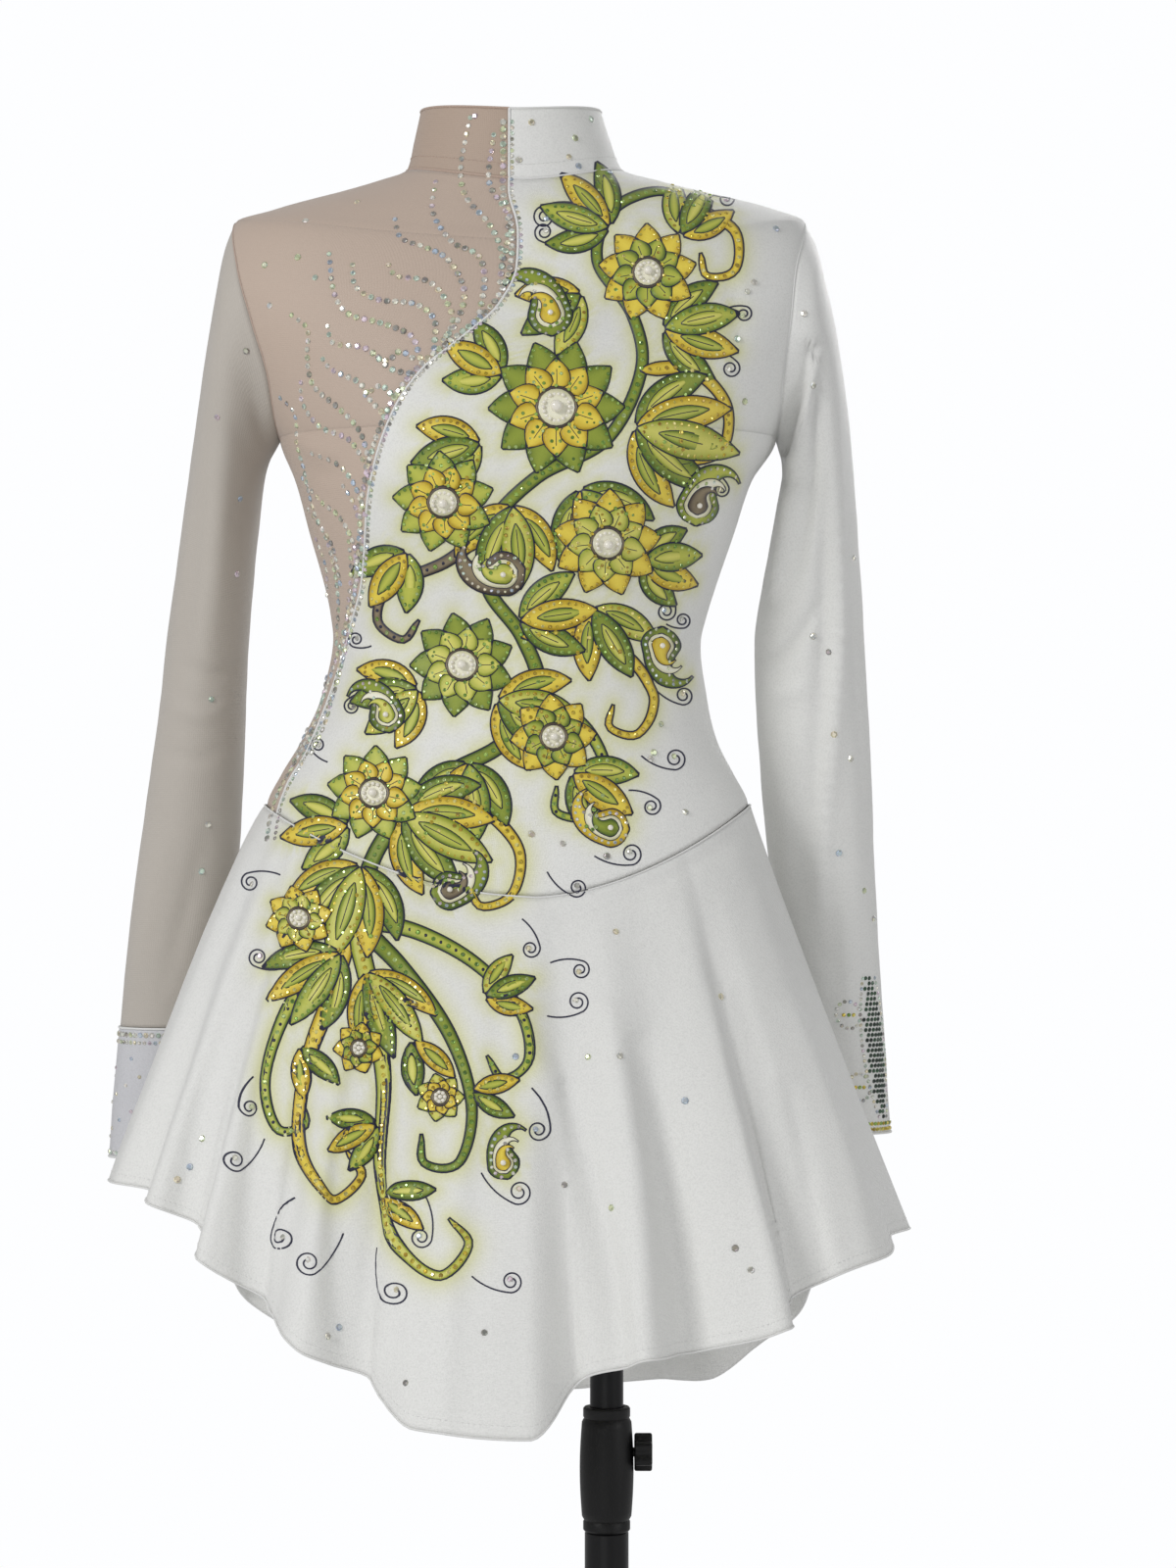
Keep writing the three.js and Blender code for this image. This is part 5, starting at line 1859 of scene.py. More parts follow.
def tint(piece: Piece, gem: Gem, count: int) -> None:
    """Gives each stone and each of its facets a tint of its own, and each facet a random brightness as a painted
    glint.
    """
    mesh = piece.data
    rng = np.random.default_rng(7)
    shades = np.array([srgb(*row) for row in rows_of(TINTS[gem])])
    each = len(mesh.polygons) // count
    base = shades[rng.integers(0, len(shades), count)]
    other = shades[rng.integers(0, len(shades), (count, each))]
    # Painted glint: each facet's colour is made brighter or darker at random, as if it caught the light.
    glint = rng.random((count, each, 1)) ** 1.5
    share = rng.random((count, each, 1)) * 0.5
    colours = (base[:, None] * (1 - share) + other * share) * (0.45 + 0.65 * glint)
    rows = np.ones((count * each, 4), np.float32)
    rows[:, :3] = np.clip(colours.reshape(-1, 3), 0, 1)
    mesh.attributes.new("tint", "FLOAT_COLOR", "FACE").data.foreach_set("color", rows.ravel())


# Streams of crystals on the mesh, from their starts down to the edge
STREAMS = """
-51 1370 -53 1351 -41 1332 -24 1323 -20 1306 -24 1282 /
-29 1411 -35 1380 -32 1361 -17 1343 -9 1325 -10 1306 / -14 1400 -17 1370 -6 1351 -5 1334 -9 1316 /
-77 1346 -73 1334 -57 1328 -43 1320 -33 1301 -37 1282 -46 1269 /
-119 1324 -116 1300 -107 1286 -86 1280 -67 1272 -61 1258 /
-104 1317 -102 1303 -88 1295 -64 1292 -52 1282 -52 1264 /
-81 1317 -76 1310 -57 1307 -46 1297 -40 1282 -44 1272 /
-143 1285 -133 1276 -133 1258 -129 1240 -112 1225 -99 1210 -92 1187 /
-120 1278 -116 1267 -96 1264 -80 1251 -68 1248 / -123 1257 -117 1250 -100 1242 -92 1230 -82 1220 /
-150 1232 -141 1222 -138 1198 -133 1177 -127 1156 -117 1138 -112 1114 /
-137 1242 -136 1229 -125 1214 -107 1206 -97 1192 -93 1178 / -129 1197 -114 1190 -103 1177 -96 1158 /
-136 1181 -124 1166 -112 1156 -103 1138 -101 1116 / -132 1161 -122 1146 -116 1125 -113 1101 -114 1076 /
-92 1261 -82 1256 -74 1262 -66 1258 / -96 1234 -86 1240 -78 1234 -72 1238 /
-110 1176 -102 1162 -98 1140 -99 1120 /
-127 1142 -121 1124 -120 1100 -119 1072 -121 1050 -127 1026 -137 1000 /
-107 1146 -105 1122 -107 1098 -110 1072 -115 1048 -121 1026 -130 1006 /
-124 1112 -124 1086 -124 1062 -128 1038 -134 1018 -143 996 /
-102 1128 -103 1104 -107 1080 -112 1056 -118 1036
"""
# Single stones away from the design: where each is
SINGLES = """
-72 1378  -101 1357  -134 1345  -139 1322  -128 1309  -157 1291  -160 1317  -26 1412  10 1408  38 1398
34 1386  48 1410  2 1384  60 1376  98 1362  120 1348  102 1344  134 1352  166 1340  112 1316  152 1306
142 1270  148 1300  104 1252  146 1230  134 1208  124 1186  118 1160  112 1134  102 1090  96 1052  92 1024
86 1002  78 980  112 996  108 968  88 1006  70 962  44 986  58 940  30 948  10 954  -8 936  40 926
-12 906  16 884  64 892  130 850  66 812  46 812  0 812  108 784  -20 636  60 716  -34 756  30 730
150 676  140 690  -180 784  -208 742  -216 734  -134 674  -110 640  -118 634  -70 604  -200 760  190 1080
200 1070  202 1018  214 1002  222 918  228 900  206 942  216 1130  190 1240  184 1286  -176 1168
-178 1120  -160 1064  -194 1040  -196 960  -200 930  -190 1220  -172 1262  40 1380
"""


class Tone(Enum):
    """A thread's colour, and the material slot of what it sews."""

    WHITE = "white_satin"
    NUDE = "nude_mesh"


@dataclass
class Trimmings:
    """Everything that is glued or sewn on: stones, pearls, stitches, seam lines and hems."""

    surface: Surface
    sheets: dict[str, Sheet]
    artwork: Artwork
    places: dict[Gem, list[Place]] = field(default_factory=lambda: {gem: [] for gem in Gem})

    def set_gem(self, spot: Plane, size: float, gem: Gem) -> None:
        """Sets one stone at a place in the view."""
        height = self.artwork.pile.at(spot)
        found = self.surface.find(spot[0], spot[1], height + self.artwork.base_lift * (height > 0))
        if found is not None:
            self.places[gem].append(Place(found[0], found[1], size))

    def gather(self) -> None:
        """Finds the place of every stone and pearl."""
        self.set_design()
        self.set_streams()
        self.set_edge()
        for k, spot in enumerate(rows_of(SINGLES, 2)):
            around = [(spot[0] + 6 * math.cos(a), spot[1] + 6 * math.sin(a)) for a in range(7)]
            if not any(self.artwork.pile.at(place) for place in around):
                self.set_gem(spot, (2.4, 2.1, 2.3)[k % 3], Gem.CRYSTAL)
        self.set_cuffs()

    def set_design(self) -> None:
        """The stones and pearls of the painted design, each at least its own width from the last."""
        taken: dict[tuple[int, int], list[tuple[Plane, float]]] = {}
        for spot, size, gem in self.artwork.gems[::-1]:
            cell = (int(spot[0] // 5), int(spot[1] // 5))
            cells = [(cell[0] + i, cell[1] + j) for i in (-1, 0, 1) for j in (-1, 0, 1)]
            near = [stone for place in cells for stone in taken.get(place, [])]
            if all(math.dist(spot, other) > size + reach for other, reach in near):
                taken.setdefault(cell, []).append((spot, size))
                self.set_gem(spot, size, gem)

    def set_streams(self) -> None:
        """The crystal streams on the mesh, smaller towards their starts."""
        for line in map(pairs, rows_of(STREAMS)):
            rough = curve_through(line, 60)
            count = round(length_of(rough) / 5.3)
            for i, spot in enumerate(curve_through(line, count + 1)):
                size = 1.8 + 0.45 * min(1, 2.5 * i / count)
                self.set_gem(tuple(spot), size, Gem.CRYSTAL)

    def set_edge(self) -> None:
        """Two rows of crystals on the edge between the mesh and the satin."""
        for shift, size, spacing in ((-3.8, 2.3, 4.9), (1.6, 1.5, 3.8)):
            heights = np.linspace(952, 1412, 180)
            line = np.stack([MESH_EDGE.read("x", heights) + shift, heights], axis=1)
            seen = np.array([self.in_view(*spot) for spot in line])
            for spot in curve_through([tuple(p) for p in seen[::6]], round(length_of(seen) / spacing)):
                self.set_gem(tuple(spot), size, Gem.CRYSTAL)

    def in_view(self, x: float, height: float) -> Plane:
        """Where a point of the front panel's surface shows in the view's plane."""
        found = self.plain_front(x, height)
        share = -EYE[1] / (found - EYE[1])
        return EYE[0] + (x - EYE[0]) * share, EYE[2] + (height - EYE[2]) * share

    def plain_front(self, x: float, height: float) -> float:
        """The depth of the front's surface at a distance from the centre line and a height."""
        hit = self.surface.tree.ray_cast(Vector((x, -2000, height)), Vector((0, 1, 0)))[0]
        return hit.y if hit is not None else -60.0

    def set_cuffs(self) -> None:
        """The right cuff's rows and scattered stones, and a small leaf motif at the left wrist."""
        cuff, sleeve = self.sheets["cuff_right"], self.sheets["sleeve_left"]
        for height, size, number in ((822.5, 1.9, 46), (817.5, 1.5, 52), (744.0, 1.5, 46)):
            for k in range(number):
                self.set_round(cuff, k * 360 / number, height, size, Gem.CRYSTAL)
        for k in range(48):
            height = 754 + (k * 37 % 58)
            self.set_round(cuff, k * 137.5 % 360, height, 1.45, Gem.CRYSTAL)
        for turn, height, size, gem in self.wrist_motif():
            self.set_round(sleeve, turn, height, size, gem)

    def set_round(self, sheet: Sheet, turn: float, height: float, size: float, gem: Gem) -> None:
        """Sets a stone on a tube of cloth, at a turn from its outer side and a height."""
        count = sheet.final.shape[1]
        at = (turn % 360) / 360 * count
        j, share = int(at) % count, at % 1
        after = (j + 1) % count
        line, up = (
            grid[:, j] * (1 - share) + grid[:, after] * share for grid in (sheet.final, sheet.normals)
        )
        point, normal = (read_at(-height, -line[:, 2], rows) for rows in (line, up))
        self.places[gem].append(Place(point, normal / np.linalg.norm(normal), size))

    @staticmethod
    def wrist_motif() -> list[tuple[float, float, float, Gem]]:
        """Stones of one long leaf with two buds: the turn round the sleeve, height, size and kind."""
        stones = []
        low, high = 768, 862
        for row, height in enumerate(np.arange(low, high, 3.4)):
            share = (height - low) / (high - low)
            half = 14 * math.sin(share * math.pi) ** 0.7 + 1
            lean = 36 + 8 * share
            for turn in np.arange(-half, half + 0.1, 6.6):
                stones.append((lean + turn + (row % 2) * 3.3, float(height), 1.5, Gem.EMERALD))
            for hand in (-1, 1):
                stones.append((lean + hand * (half + 8), float(height), 1.3, Gem.CRYSTAL))
        for base, lean in ((788, 72), (836, 78)):
            for k in range(14):
                t = k / 14 * 2 * math.pi
                stones.append((lean + 15 * math.cos(t), base + 9 * math.sin(t), 1.4, Gem.CRYSTAL))
            for k in range(3):
                stones.append((lean - 6 + 6 * k, float(base), 1.4, Gem.PERIDOT if k % 2 else Gem.CITRINE))
        for k, turn in enumerate(np.arange(8, 76, 5.6)):
            stones.append((float(turn), 763.5, 1.4, Gem.CITRINE if k % 2 else Gem.PERIDOT))
            stones.append((float(turn) + 2.8, 759.8, 1.4, Gem.CITRINE))
        return stones

    def build(self, finishes: dict[str, Material]) -> None:
        """Makes the stones, pearls, stitches and seam lines."""
        for gem, places in self.places.items():
            pearl = gem is Gem.PEARL
            piece = scattered(f"stones_{gem.value}", "pearl" if pearl else "stone", places, pearl)
            if not pearl:
                tint(piece, gem, len(places))
            dress_piece(piece, finishes["pearl" if pearl else "crystal"], "white_satin")
        self.sew(finishes)

    def unpainted(self, line: Array) -> list[Array]:
        """The runs of a line on the front that no paint covers."""
        bare = np.array([self.artwork.pile.at(tuple(spot)) <= 0 for spot in seen_from_front(line)])
        cuts = np.flatnonzero(np.diff(bare)) + 1
        runs = zip(np.split(line, cuts), np.split(bare, cuts))
        return [run for run, kept in runs if kept[0] and len(run) > 2]

    def sew(self, finishes: dict[str, Material]) -> None:
        """The lines of stitches and the seams' fine ridges."""
        sheets = self.sheets
        left, right = sheets["collar_left"], sheets["collar_right_mesh"]
        front, back = sheets["skirt_front"], sheets["skirt_back"]
        sleeve, mesh_sleeve, cuff = (
            sheets[name] for name in ("sleeve_left", "sleeve_right_mesh", "cuff_right")
        )
        rows = {
            Tone.WHITE: (
                (left, 4, 2.8, 1.3), (front, -3, 3.4, 1.1), (back, -3, 3.4, 1.1), (sleeve, -3, 3.0, 1.0),
                (cuff, -3, 3.0, 1.0),
            ),
            Tone.NUDE: ((right, 4, 2.8, 1.3),),
        }
        for tone, stitched in rows.items():
            places = []
            for sheet, row, spacing, size in stitched:
                places += stitches_along(sheet.final[row], sheet.normals[row], spacing, size)
            piece = scattered(f"stitches_{tone.name.lower()}", "stitch", places, True)
            dress_piece(piece, finishes[f"{tone.name.lower()}_thread"], tone.value)
        ends = [close_loop(cuff.final[row]) for row in (-1, 0)]
        piping = [sheets["front_left"].final[:, 0], left.final[:, 0]]
        waist = [*self.unpainted(front.final[0]), back.final[0]]
        edges = (
            ("hem_edge", Tone.WHITE, 0.66, [front.final[-1], back.final[-1]]),
            ("wrist_edge", Tone.WHITE, 0.8, [close_loop(sleeve.final[-1])]),
            ("cuff_edge", Tone.WHITE, 0.8, ends),
            ("neck_edge", Tone.WHITE, 0.7, [left.final[-1]]),
            ("neck_edge_nude", Tone.NUDE, 0.7, [right.final[-1]]),
            ("neck_seam", Tone.WHITE, 0.8, [left.final[0]]),
            ("neck_seam_nude", Tone.NUDE, 0.8, [right.final[0]]),
            ("armhole_seam_left", Tone.WHITE, 0.5, [close_loop(sleeve.final[0])]),
            ("armhole_seam_right", Tone.NUDE, 0.5, [close_loop(mesh_sleeve.final[0])]),
            ("mesh_edge_piping", Tone.WHITE, 0.9, piping),
            ("waist_seam", Tone.WHITE, 0.6, waist),
        )
        for name, tone, radius, lines in edges:
            piece = new_object(name, round_line(name, lines, radius))
            dress_piece(piece, finishes[f"{tone.name.lower()}_thread"], tone.value)


def stitches_along(line: Array, normals: Array, spacing: float, size: float) -> list[Place]:
    """Evenly spaced stitches on a line of a sheet."""
    along = lengths(line)
    places = []
    for at in np.arange(spacing / 2, along[-1], spacing):
        point, normal = read_at(at, along, line), read_at(at, along, normals)
        direction = read_at(at + 0.5, along, line) - point
        if np.linalg.norm(direction) > 1e-6:
            places.append(Place(point, normal / np.linalg.norm(normal), size, direction))
    return places


def round_line(name: str, lines: Sequence[Array], radius: float) -> Mesh:
    """A mesh of round cords along lines of points.

    Args:
        name: The mesh's name.
        lines: Each cord's points, in millimetres; one that ends where it starts is closed.
        radius: The cords' radius.

    Returns:
        The mesh.
    """
    curve = bpy.data.curves.new(name, "CURVE")
    curve.dimensions = "3D"
    curve.bevel_depth = radius * MM
    curve.bevel_resolution = 1
    curve.use_fill_caps = True
    for line in lines:
        closed = bool(np.allclose(line[0], line[-1]))
        points = to_metres(line[:-1] if closed else line)
        spline = curve.splines.new("POLY")
        spline.points.add(len(points) - 1)
        spline.points.foreach_set("co", np.hstack([points, np.ones((len(points), 1))]).ravel())
        spline.use_cyclic_u = closed
    holder = bpy.data.objects.new(name, curve)
    mesh = bpy.data.meshes.new_from_object(holder)
    bpy.data.objects.remove(holder)
    bpy.data.curves.remove(curve)
    return mesh


# ---------------------------------------------------------------- the zip


@dataclass
class Zip:
    """The back's invisible zip: its coil of teeth, slider and pull."""

    tape: Sheet
    pitch: float = 1.5
    slider_size: tuple[float, float, float] = (7.4, 3.4, 10.0)

    def build(self, finishes: dict[str, Material]) -> None:
        """Makes the teeth, and shapes for the slider and pull."""
        middle = self.tape.final[:, self.tape.final.shape[1] // 2]
        normals = self.tape.normals[:, self.tape.final.shape[1] // 2]
        places = []
        for hand in (-1, 1):
            for spot in stitches_along(middle, normals, self.pitch, 0.95):
                across = np.cross(spot.normal, spot.along / np.linalg.norm(spot.along))
                point = spot.point + across * hand * 0.85 + spot.along * hand * 0.7
                places.append(Place(point, spot.normal, spot.size, across))
        teeth = scattered("zip_teeth", "tooth", places, False)
        dress_piece(teeth, finishes["zip_nylon"], "zip_nylon")
        self.build_slider(finishes["zip_metal"])
        self.build_pull(finishes["zip_metal"])

    def build_slider(self, finish: Material) -> None:
        """The slider: a heart-shaped plate with a bridge over it."""
        low, high = (Vector(corner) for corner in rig.box("zip_slider"))
        middle, size = (low + high) / 2, high - low
        bm = bmesh.new()
        bmesh.ops.create_cube(bm, size=1)
        bmesh.ops.subdivide_edges(bm, edges=bm.edges[:], cuts=5, use_grid_fill=True)
        for vert in bm.verts:
            taper = 0.82 + 0.18 * math.cos((vert.co.z - 0.25) * 2.4)
            dome = 1 - 0.5 * (abs(vert.co.x) * 2) ** 2.4
            vert.co.x *= taper
            if vert.co.y > 0:
                vert.co.y *= 0.3 + 0.4 * dome
        bmesh.ops.scale(bm, vec=size, verts=bm.verts)
        plate = set(bm.verts)
        bmesh.ops.create_cone(
            bm, cap_ends=True, segments=16, radius1=size.x * 0.16, radius2=size.x * 0.16, depth=size.z * 0.7,
        )
        for vert in [v for v in bm.verts if v not in plate]:
            arch = 1 - (vert.co.z / (size.z * 0.36)) ** 2
            vert.co.y += size.y * (0.12 + 0.2 * max(arch, 0))
        bmesh.ops.translate(bm, vec=middle, verts=bm.verts)
        bmesh.ops.recalc_face_normals(bm, faces=bm.faces[:])
        self.finish_piece("slider", bm, finish, "dress", "zip_slider")

    def build_pull(self, finish: Material) -> None:
        """The pull: a tapered tab with a hollowed face."""
        low, high = (Vector(corner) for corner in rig.box("zip_pull"))
        middle, size = (low + high) / 2, high - low
        bm = bmesh.new()
        bmesh.ops.create_circle(bm, cap_ends=True, segments=40, radius=0.5)
        bmesh.ops.scale(bm, vec=(size.x, size.z, 1), verts=bm.verts)
        for vert in bm.verts:
            square = abs(vert.co.y) / (size.z / 2)
            vert.co.x *= (1 + 0.9 * square ** 3) * (0.86 - 0.12 * vert.co.y / (size.z / 2))
            vert.co.x = max(-size.x / 2, min(size.x / 2, vert.co.x))
        face = bm.faces[:]
        bmesh.ops.inset_individual(bm, faces=face, thickness=size.x * 0.16, depth=0)
        bmesh.ops.inset_individual(bm, faces=face, thickness=size.x * 0.05, depth=-size.y * 0.2)
        bmesh.ops.rotate(bm, matrix=Matrix.Rotation(-math.pi / 2, 3, "X"), verts=bm.verts)
        bmesh.ops.translate(bm, vec=middle + Vector((0, size.y / 2, 0)), verts=bm.verts)
        bmesh.ops.recalc_face_normals(bm, faces=bm.faces[:])
        piece = self.finish_piece("pull", bm, finish, "pull", "zip_pull")
        wall = piece.modifiers.new("thickness", "SOLIDIFY")
        wall.thickness, wall.offset = size.y * 0.75, -1
        rim = piece.modifiers.new("rim", "BEVEL")
        rim.width, rim.segments = 0.0002, 2

    @staticmethod
    def finish_piece(
        name: str, bm: BMesh, finish: Material, body: str, node: str,
    ) -> Piece:
        """Makes a metal piece in the place of its CAD node."""
        piece = new_object(f"zip_{name}_metal", to_mesh(name, bm))
        dress_piece(piece, finish, "zip_metal", body, [node])
        return piece


# ---------------------------------------------------------------- the dress form and its stand


@dataclass
class Form:
    """The limbless dress form inside the dress, and its covered neck."""

    inset: float = CLOTH + EASE
    crown: float = 3.0
    tip_inset: float = 1.2
    tip_reach: float = 8.0
    hole_radius: float = 0.0112
    hole_middle: float = 0.8105
    hole_depth: float = 0.1

    def ring(self, side: float, count: int) -> Array:
        """The form's section at a side height."""
        cut = Figure.section(side)
        arm = Figure.armhole_depth(side)
        at_tip = any(abs(side - end) < self.tip_reach for end in (UNDERARM, SHOULDER))
        inset = self.inset + (self.tip_inset if at_tip else 0)
        half = count // 2
        turns = np.linspace(-1, 1, half + 1)
        front = self.inwards(turns[:-1], side, Face.FRONT, inset)
        back = self.inwards(turns[:0:-1], side, Face.BACK, inset)
        loop = np.concatenate([front, back])
        loop[[0, half], 1] = 0
        if arm > 0:
            for j, direction in ((0, -1), (half, 1)):
                loop[j, 0] = cut["shift"] + direction * (cut["half"] + self.crown * arm / ARM_DEPTH)
        return loop

    @staticmethod
    def inwards(turns: Array, side: float, face: Face, inset: float) -> Array:
        """Points of the figure moved in from the dress."""
        normals = Figure.normals(turns, side, face)
        return Figure.points(turns, side, face) - normals * inset

    def build(self, finishes: dict[str, Material]) -> None:
        """Makes the form and the seam lines of its cover."""
        count = columns(96) // 2 * 2
        sides = [789.0] + spread(794, 826, 5) + spread(834, SEAM, 9) + spread(SEAM + 9, UNDERARM - 7, 9)
        sides += arm_rings(9)[1:-1] + spread(SHOULDER + 2, SHOULDER + 9, 3)
        sides += spread(SHOULDER + 13, FORM_TOP, 4)
        rings = np.array([self.ring(side, count) for side in sides])
        mesh = grid_mesh("form_shell", rings, True)
        bm = bmesh.new()
        bm.from_mesh(mesh)
        bpy.data.meshes.remove(mesh)
        rims = [edge for edge in bm.edges if edge.is_boundary]
        caps = bmesh.ops.holes_fill(bm, edges=rims, sides=0)["faces"]
        for inset in (0.006, 0.004):
            bmesh.ops.inset_individual(bm, faces=caps, thickness=inset, depth=-0.0006)
        bmesh.ops.recalc_face_normals(bm, faces=bm.faces[:])
        piece = new_object("form_cover", to_mesh("form_cover", bm))
        self.bore(piece)
        dress_piece(piece, finishes["form_jersey"], "form_jersey", nodes=["dress_form"])
        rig.padded(piece, fill=1.0)
        LOG.info("form_cover: %d rings", len(sides))

    def bore(self, piece: Piece) -> None:
        """Cuts the pole's hole out of the form."""
        bm = bmesh.new()
        bmesh.ops.create_cone(
            bm, cap_ends=True, segments=48, radius1=self.hole_radius, radius2=self.hole_radius,
            depth=self.hole_depth,
        )
        bmesh.ops.translate(bm, vec=(0, 0, self.hole_middle), verts=bm.verts)
        cutter = new_object("bore", to_mesh("bore", bm))
        cut = piece.modifiers.new("bore", "BOOLEAN")
        cut.operation, cut.object, cut.solver = "DIFFERENCE", cutter, "EXACT"
        depsgraph = bpy.context.evaluated_depsgraph_get()
        piece.data = bpy.data.meshes.new_from_object(piece.evaluated_get(depsgraph))
        piece.modifiers.clear()
        bpy.data.objects.remove(cutter)


@dataclass
class Stand:
    """The telescoping stand: base disc, outer tube, clamp, knob and pole."""

    pole_radius: float = 10.65
    tube_radius: float = 14.0
    steps: int = 96
    pole_ends: Plane = (260.0, 860.0)
    tube_ends: Plane = (6.3, 509.7)
    clamp_ends: Plane = (510.0, 589.0)
    knob_height: float = 560.0

    def spun(
        self, name: str, profile: Sequence[Plane], finish: Material, slot: str, body: str, node: str,
    ) -> None:
        """A turned piece about the pole's axis, in the place of a CAD node.

        Args:
            name: The piece's name.
            profile: Radius and height of each corner, from the axis to the axis or round a wall.
            finish: Its material.
            slot: The record's material slot.
            body: The body that it rides on.
            node: The CAD node that it stands for.
        """
        bm = bmesh.new()
        verts = [bm.verts.new((r * MM, 0, z * MM)) for r, z in profile]
        edges = [bm.edges.new(pair) for pair in zip(verts, verts[1:])]
        bmesh.ops.spin(
            bm, geom=verts + edges, cent=(0, 0, 0), axis=(0, 0, 1), angle=2 * math.pi, steps=self.steps,
            use_merge=True, use_duplicate=False,
        )
        bmesh.ops.remove_doubles(bm, verts=bm.verts[:], dist=1e-6)
        bmesh.ops.recalc_face_normals(bm, faces=bm.faces[:])
        self.close(name, bm, finish, slot, body, node)

    @staticmethod
    def close(
        name: str, bm: BMesh, finish: Material, slot: str, body: str, node: str,
    ) -> None:
        """Turns a bmesh into a piece in the place of a CAD node."""
        piece = new_object(name, to_mesh(name, bm))
        piece.data.set_sharp_from_angle(angle=math.radians(32))
        dress_piece(piece, finish, slot, body, [node])
        LOG.info("%s", name)

    @staticmethod
    def rounded(profile: Sequence[Plane], radius: float) -> list[Plane]:
        """The same profile with its inner corners rounded by short arcs."""
        points = [np.array(p, float) for p in profile]
        smooth_line = [profile[0]]
        for before, corner, after in zip(points, points[1:], points[2:]):
            reach = min(radius, np.linalg.norm(corner - before) / 2.2, np.linalg.norm(after - corner) / 2.2)
            start = corner + (before - corner) / max(np.linalg.norm(before - corner), 1e-9) * reach
            end = corner + (after - corner) / max(np.linalg.norm(after - corner), 1e-9) * reach
            for t in np.linspace(0, 1, 5):
                smooth_line.append(tuple((1 - t) ** 2 * start + 2 * t * (1 - t) * corner + t * t * end))
        return smooth_line + [profile[-1]]

    def build(self, finishes: dict[str, Material]) -> None:
        """Makes every part of the stand."""
        metal, plastic = finishes["black_metal"], finishes["black_plastic"]
        r, (low, high) = self.pole_radius, self.pole_ends
        bore = r + 0.35
        pole = self.rounded([(0, low), (r, low), (r, high), (0, high)], 1.2)
        self.spun("pole_tube", pole, metal, "black_metal", "mast", "pole")
        t, (start, end) = self.tube_radius, self.tube_ends
        tube = [(bore, start), (t, start), (t, end - 1), (t - 0.8, end), (bore, end), (bore, start)]
        self.spun("outer_sleeve", tube, metal, "black_metal", "stand", "outer_tube")
        base = self.rounded([
            (0, 0), (178, 0), (180, 2), (180, 5), (172, 8), (40, 10), (30, 14), (22, 30), (20, 42),
            (t + 0.3, 42), (t + 0.3, 6), (0, 6),
        ], 3)
        self.spun("base_plate", base, metal, "black_metal", "stand", "base_disc")
        self.build_clamp(plastic, bore)
        self.build_knob(plastic)

    def build_clamp(self, finish: Material, bore: float) -> None:
        """The barrel clamp, with rings at its ends and a swell all round its middle."""
        low, high = self.clamp_ends
        barrel = [(bore, low), (14.2, low), (15, low + 1), (15, low + 6), (14.4, low + 7)]
        for t in np.linspace(0.12, 0.88, 20):
            barrel.append((15 + 2.2 * math.sin(t * math.pi), low + (high - low) * t))
        barrel += [(14.4, high - 7), (15, high - 6), (15, high - 1), (14.2, high), (bore, high), (bore, low)]
        self.spun("clamp_barrel", barrel, finish, "black_plastic", "stand", "clamp_collar")

    def build_knob(self, finish: Material) -> None:
        """The lobed knob on its screw, along x."""
        bm = bmesh.new()
        lobes, segments = 6, 96
        made = bmesh.ops.create_circle(bm, cap_ends=True, segments=segments, radius=1)
        for vert in made["verts"]:
            angle = math.atan2(vert.co.y, vert.co.x)
            radius = 10.6 + 1.6 * math.cos(lobes * angle)
            vert.co = Vector((math.cos(angle), math.sin(angle), 0)) * radius * MM
        face = bm.faces[:]
        rise = bmesh.ops.extrude_face_region(bm, geom=face)["geom"]
        top = [part for part in rise if isinstance(part, bmesh.types.BMVert)]
        bmesh.ops.translate(bm, vec=(0, 0, 0.0114), verts=top)
        rims = [e for e in bm.edges if abs(e.verts[0].co.z - e.verts[1].co.z) < 1e-6]
        bmesh.ops.bevel(bm, geom=rims, offset=0.0014, segments=3, affect="EDGES", profile=0.5, material=-1)
        top = max(bm.faces, key=lambda f: f.calc_center_median().z)
        bmesh.ops.inset_individual(bm, faces=[top], thickness=0.003, depth=-0.0008)
        head = set(bm.verts)
        bmesh.ops.create_cone(bm, cap_ends=True, segments=32, radius1=0.003, radius2=0.003, depth=0.006)
        screw = [v for v in bm.verts if v not in head]
        bmesh.ops.translate(bm, vec=(0, 0, -0.0021), verts=screw)
        bmesh.ops.rotate(bm, matrix=Matrix.Rotation(math.pi / 2, 3, "Y"), verts=bm.verts)
        bmesh.ops.translate(bm, vec=(17.6 * MM, 0, self.knob_height * MM), verts=bm.verts)
        bmesh.ops.recalc_face_normals(bm, faces=bm.faces[:])
        self.close("knob_lobes", bm, finish, "black_plastic", "knob", "clamp_knob")


# ---------------------------------------------------------------- the studio


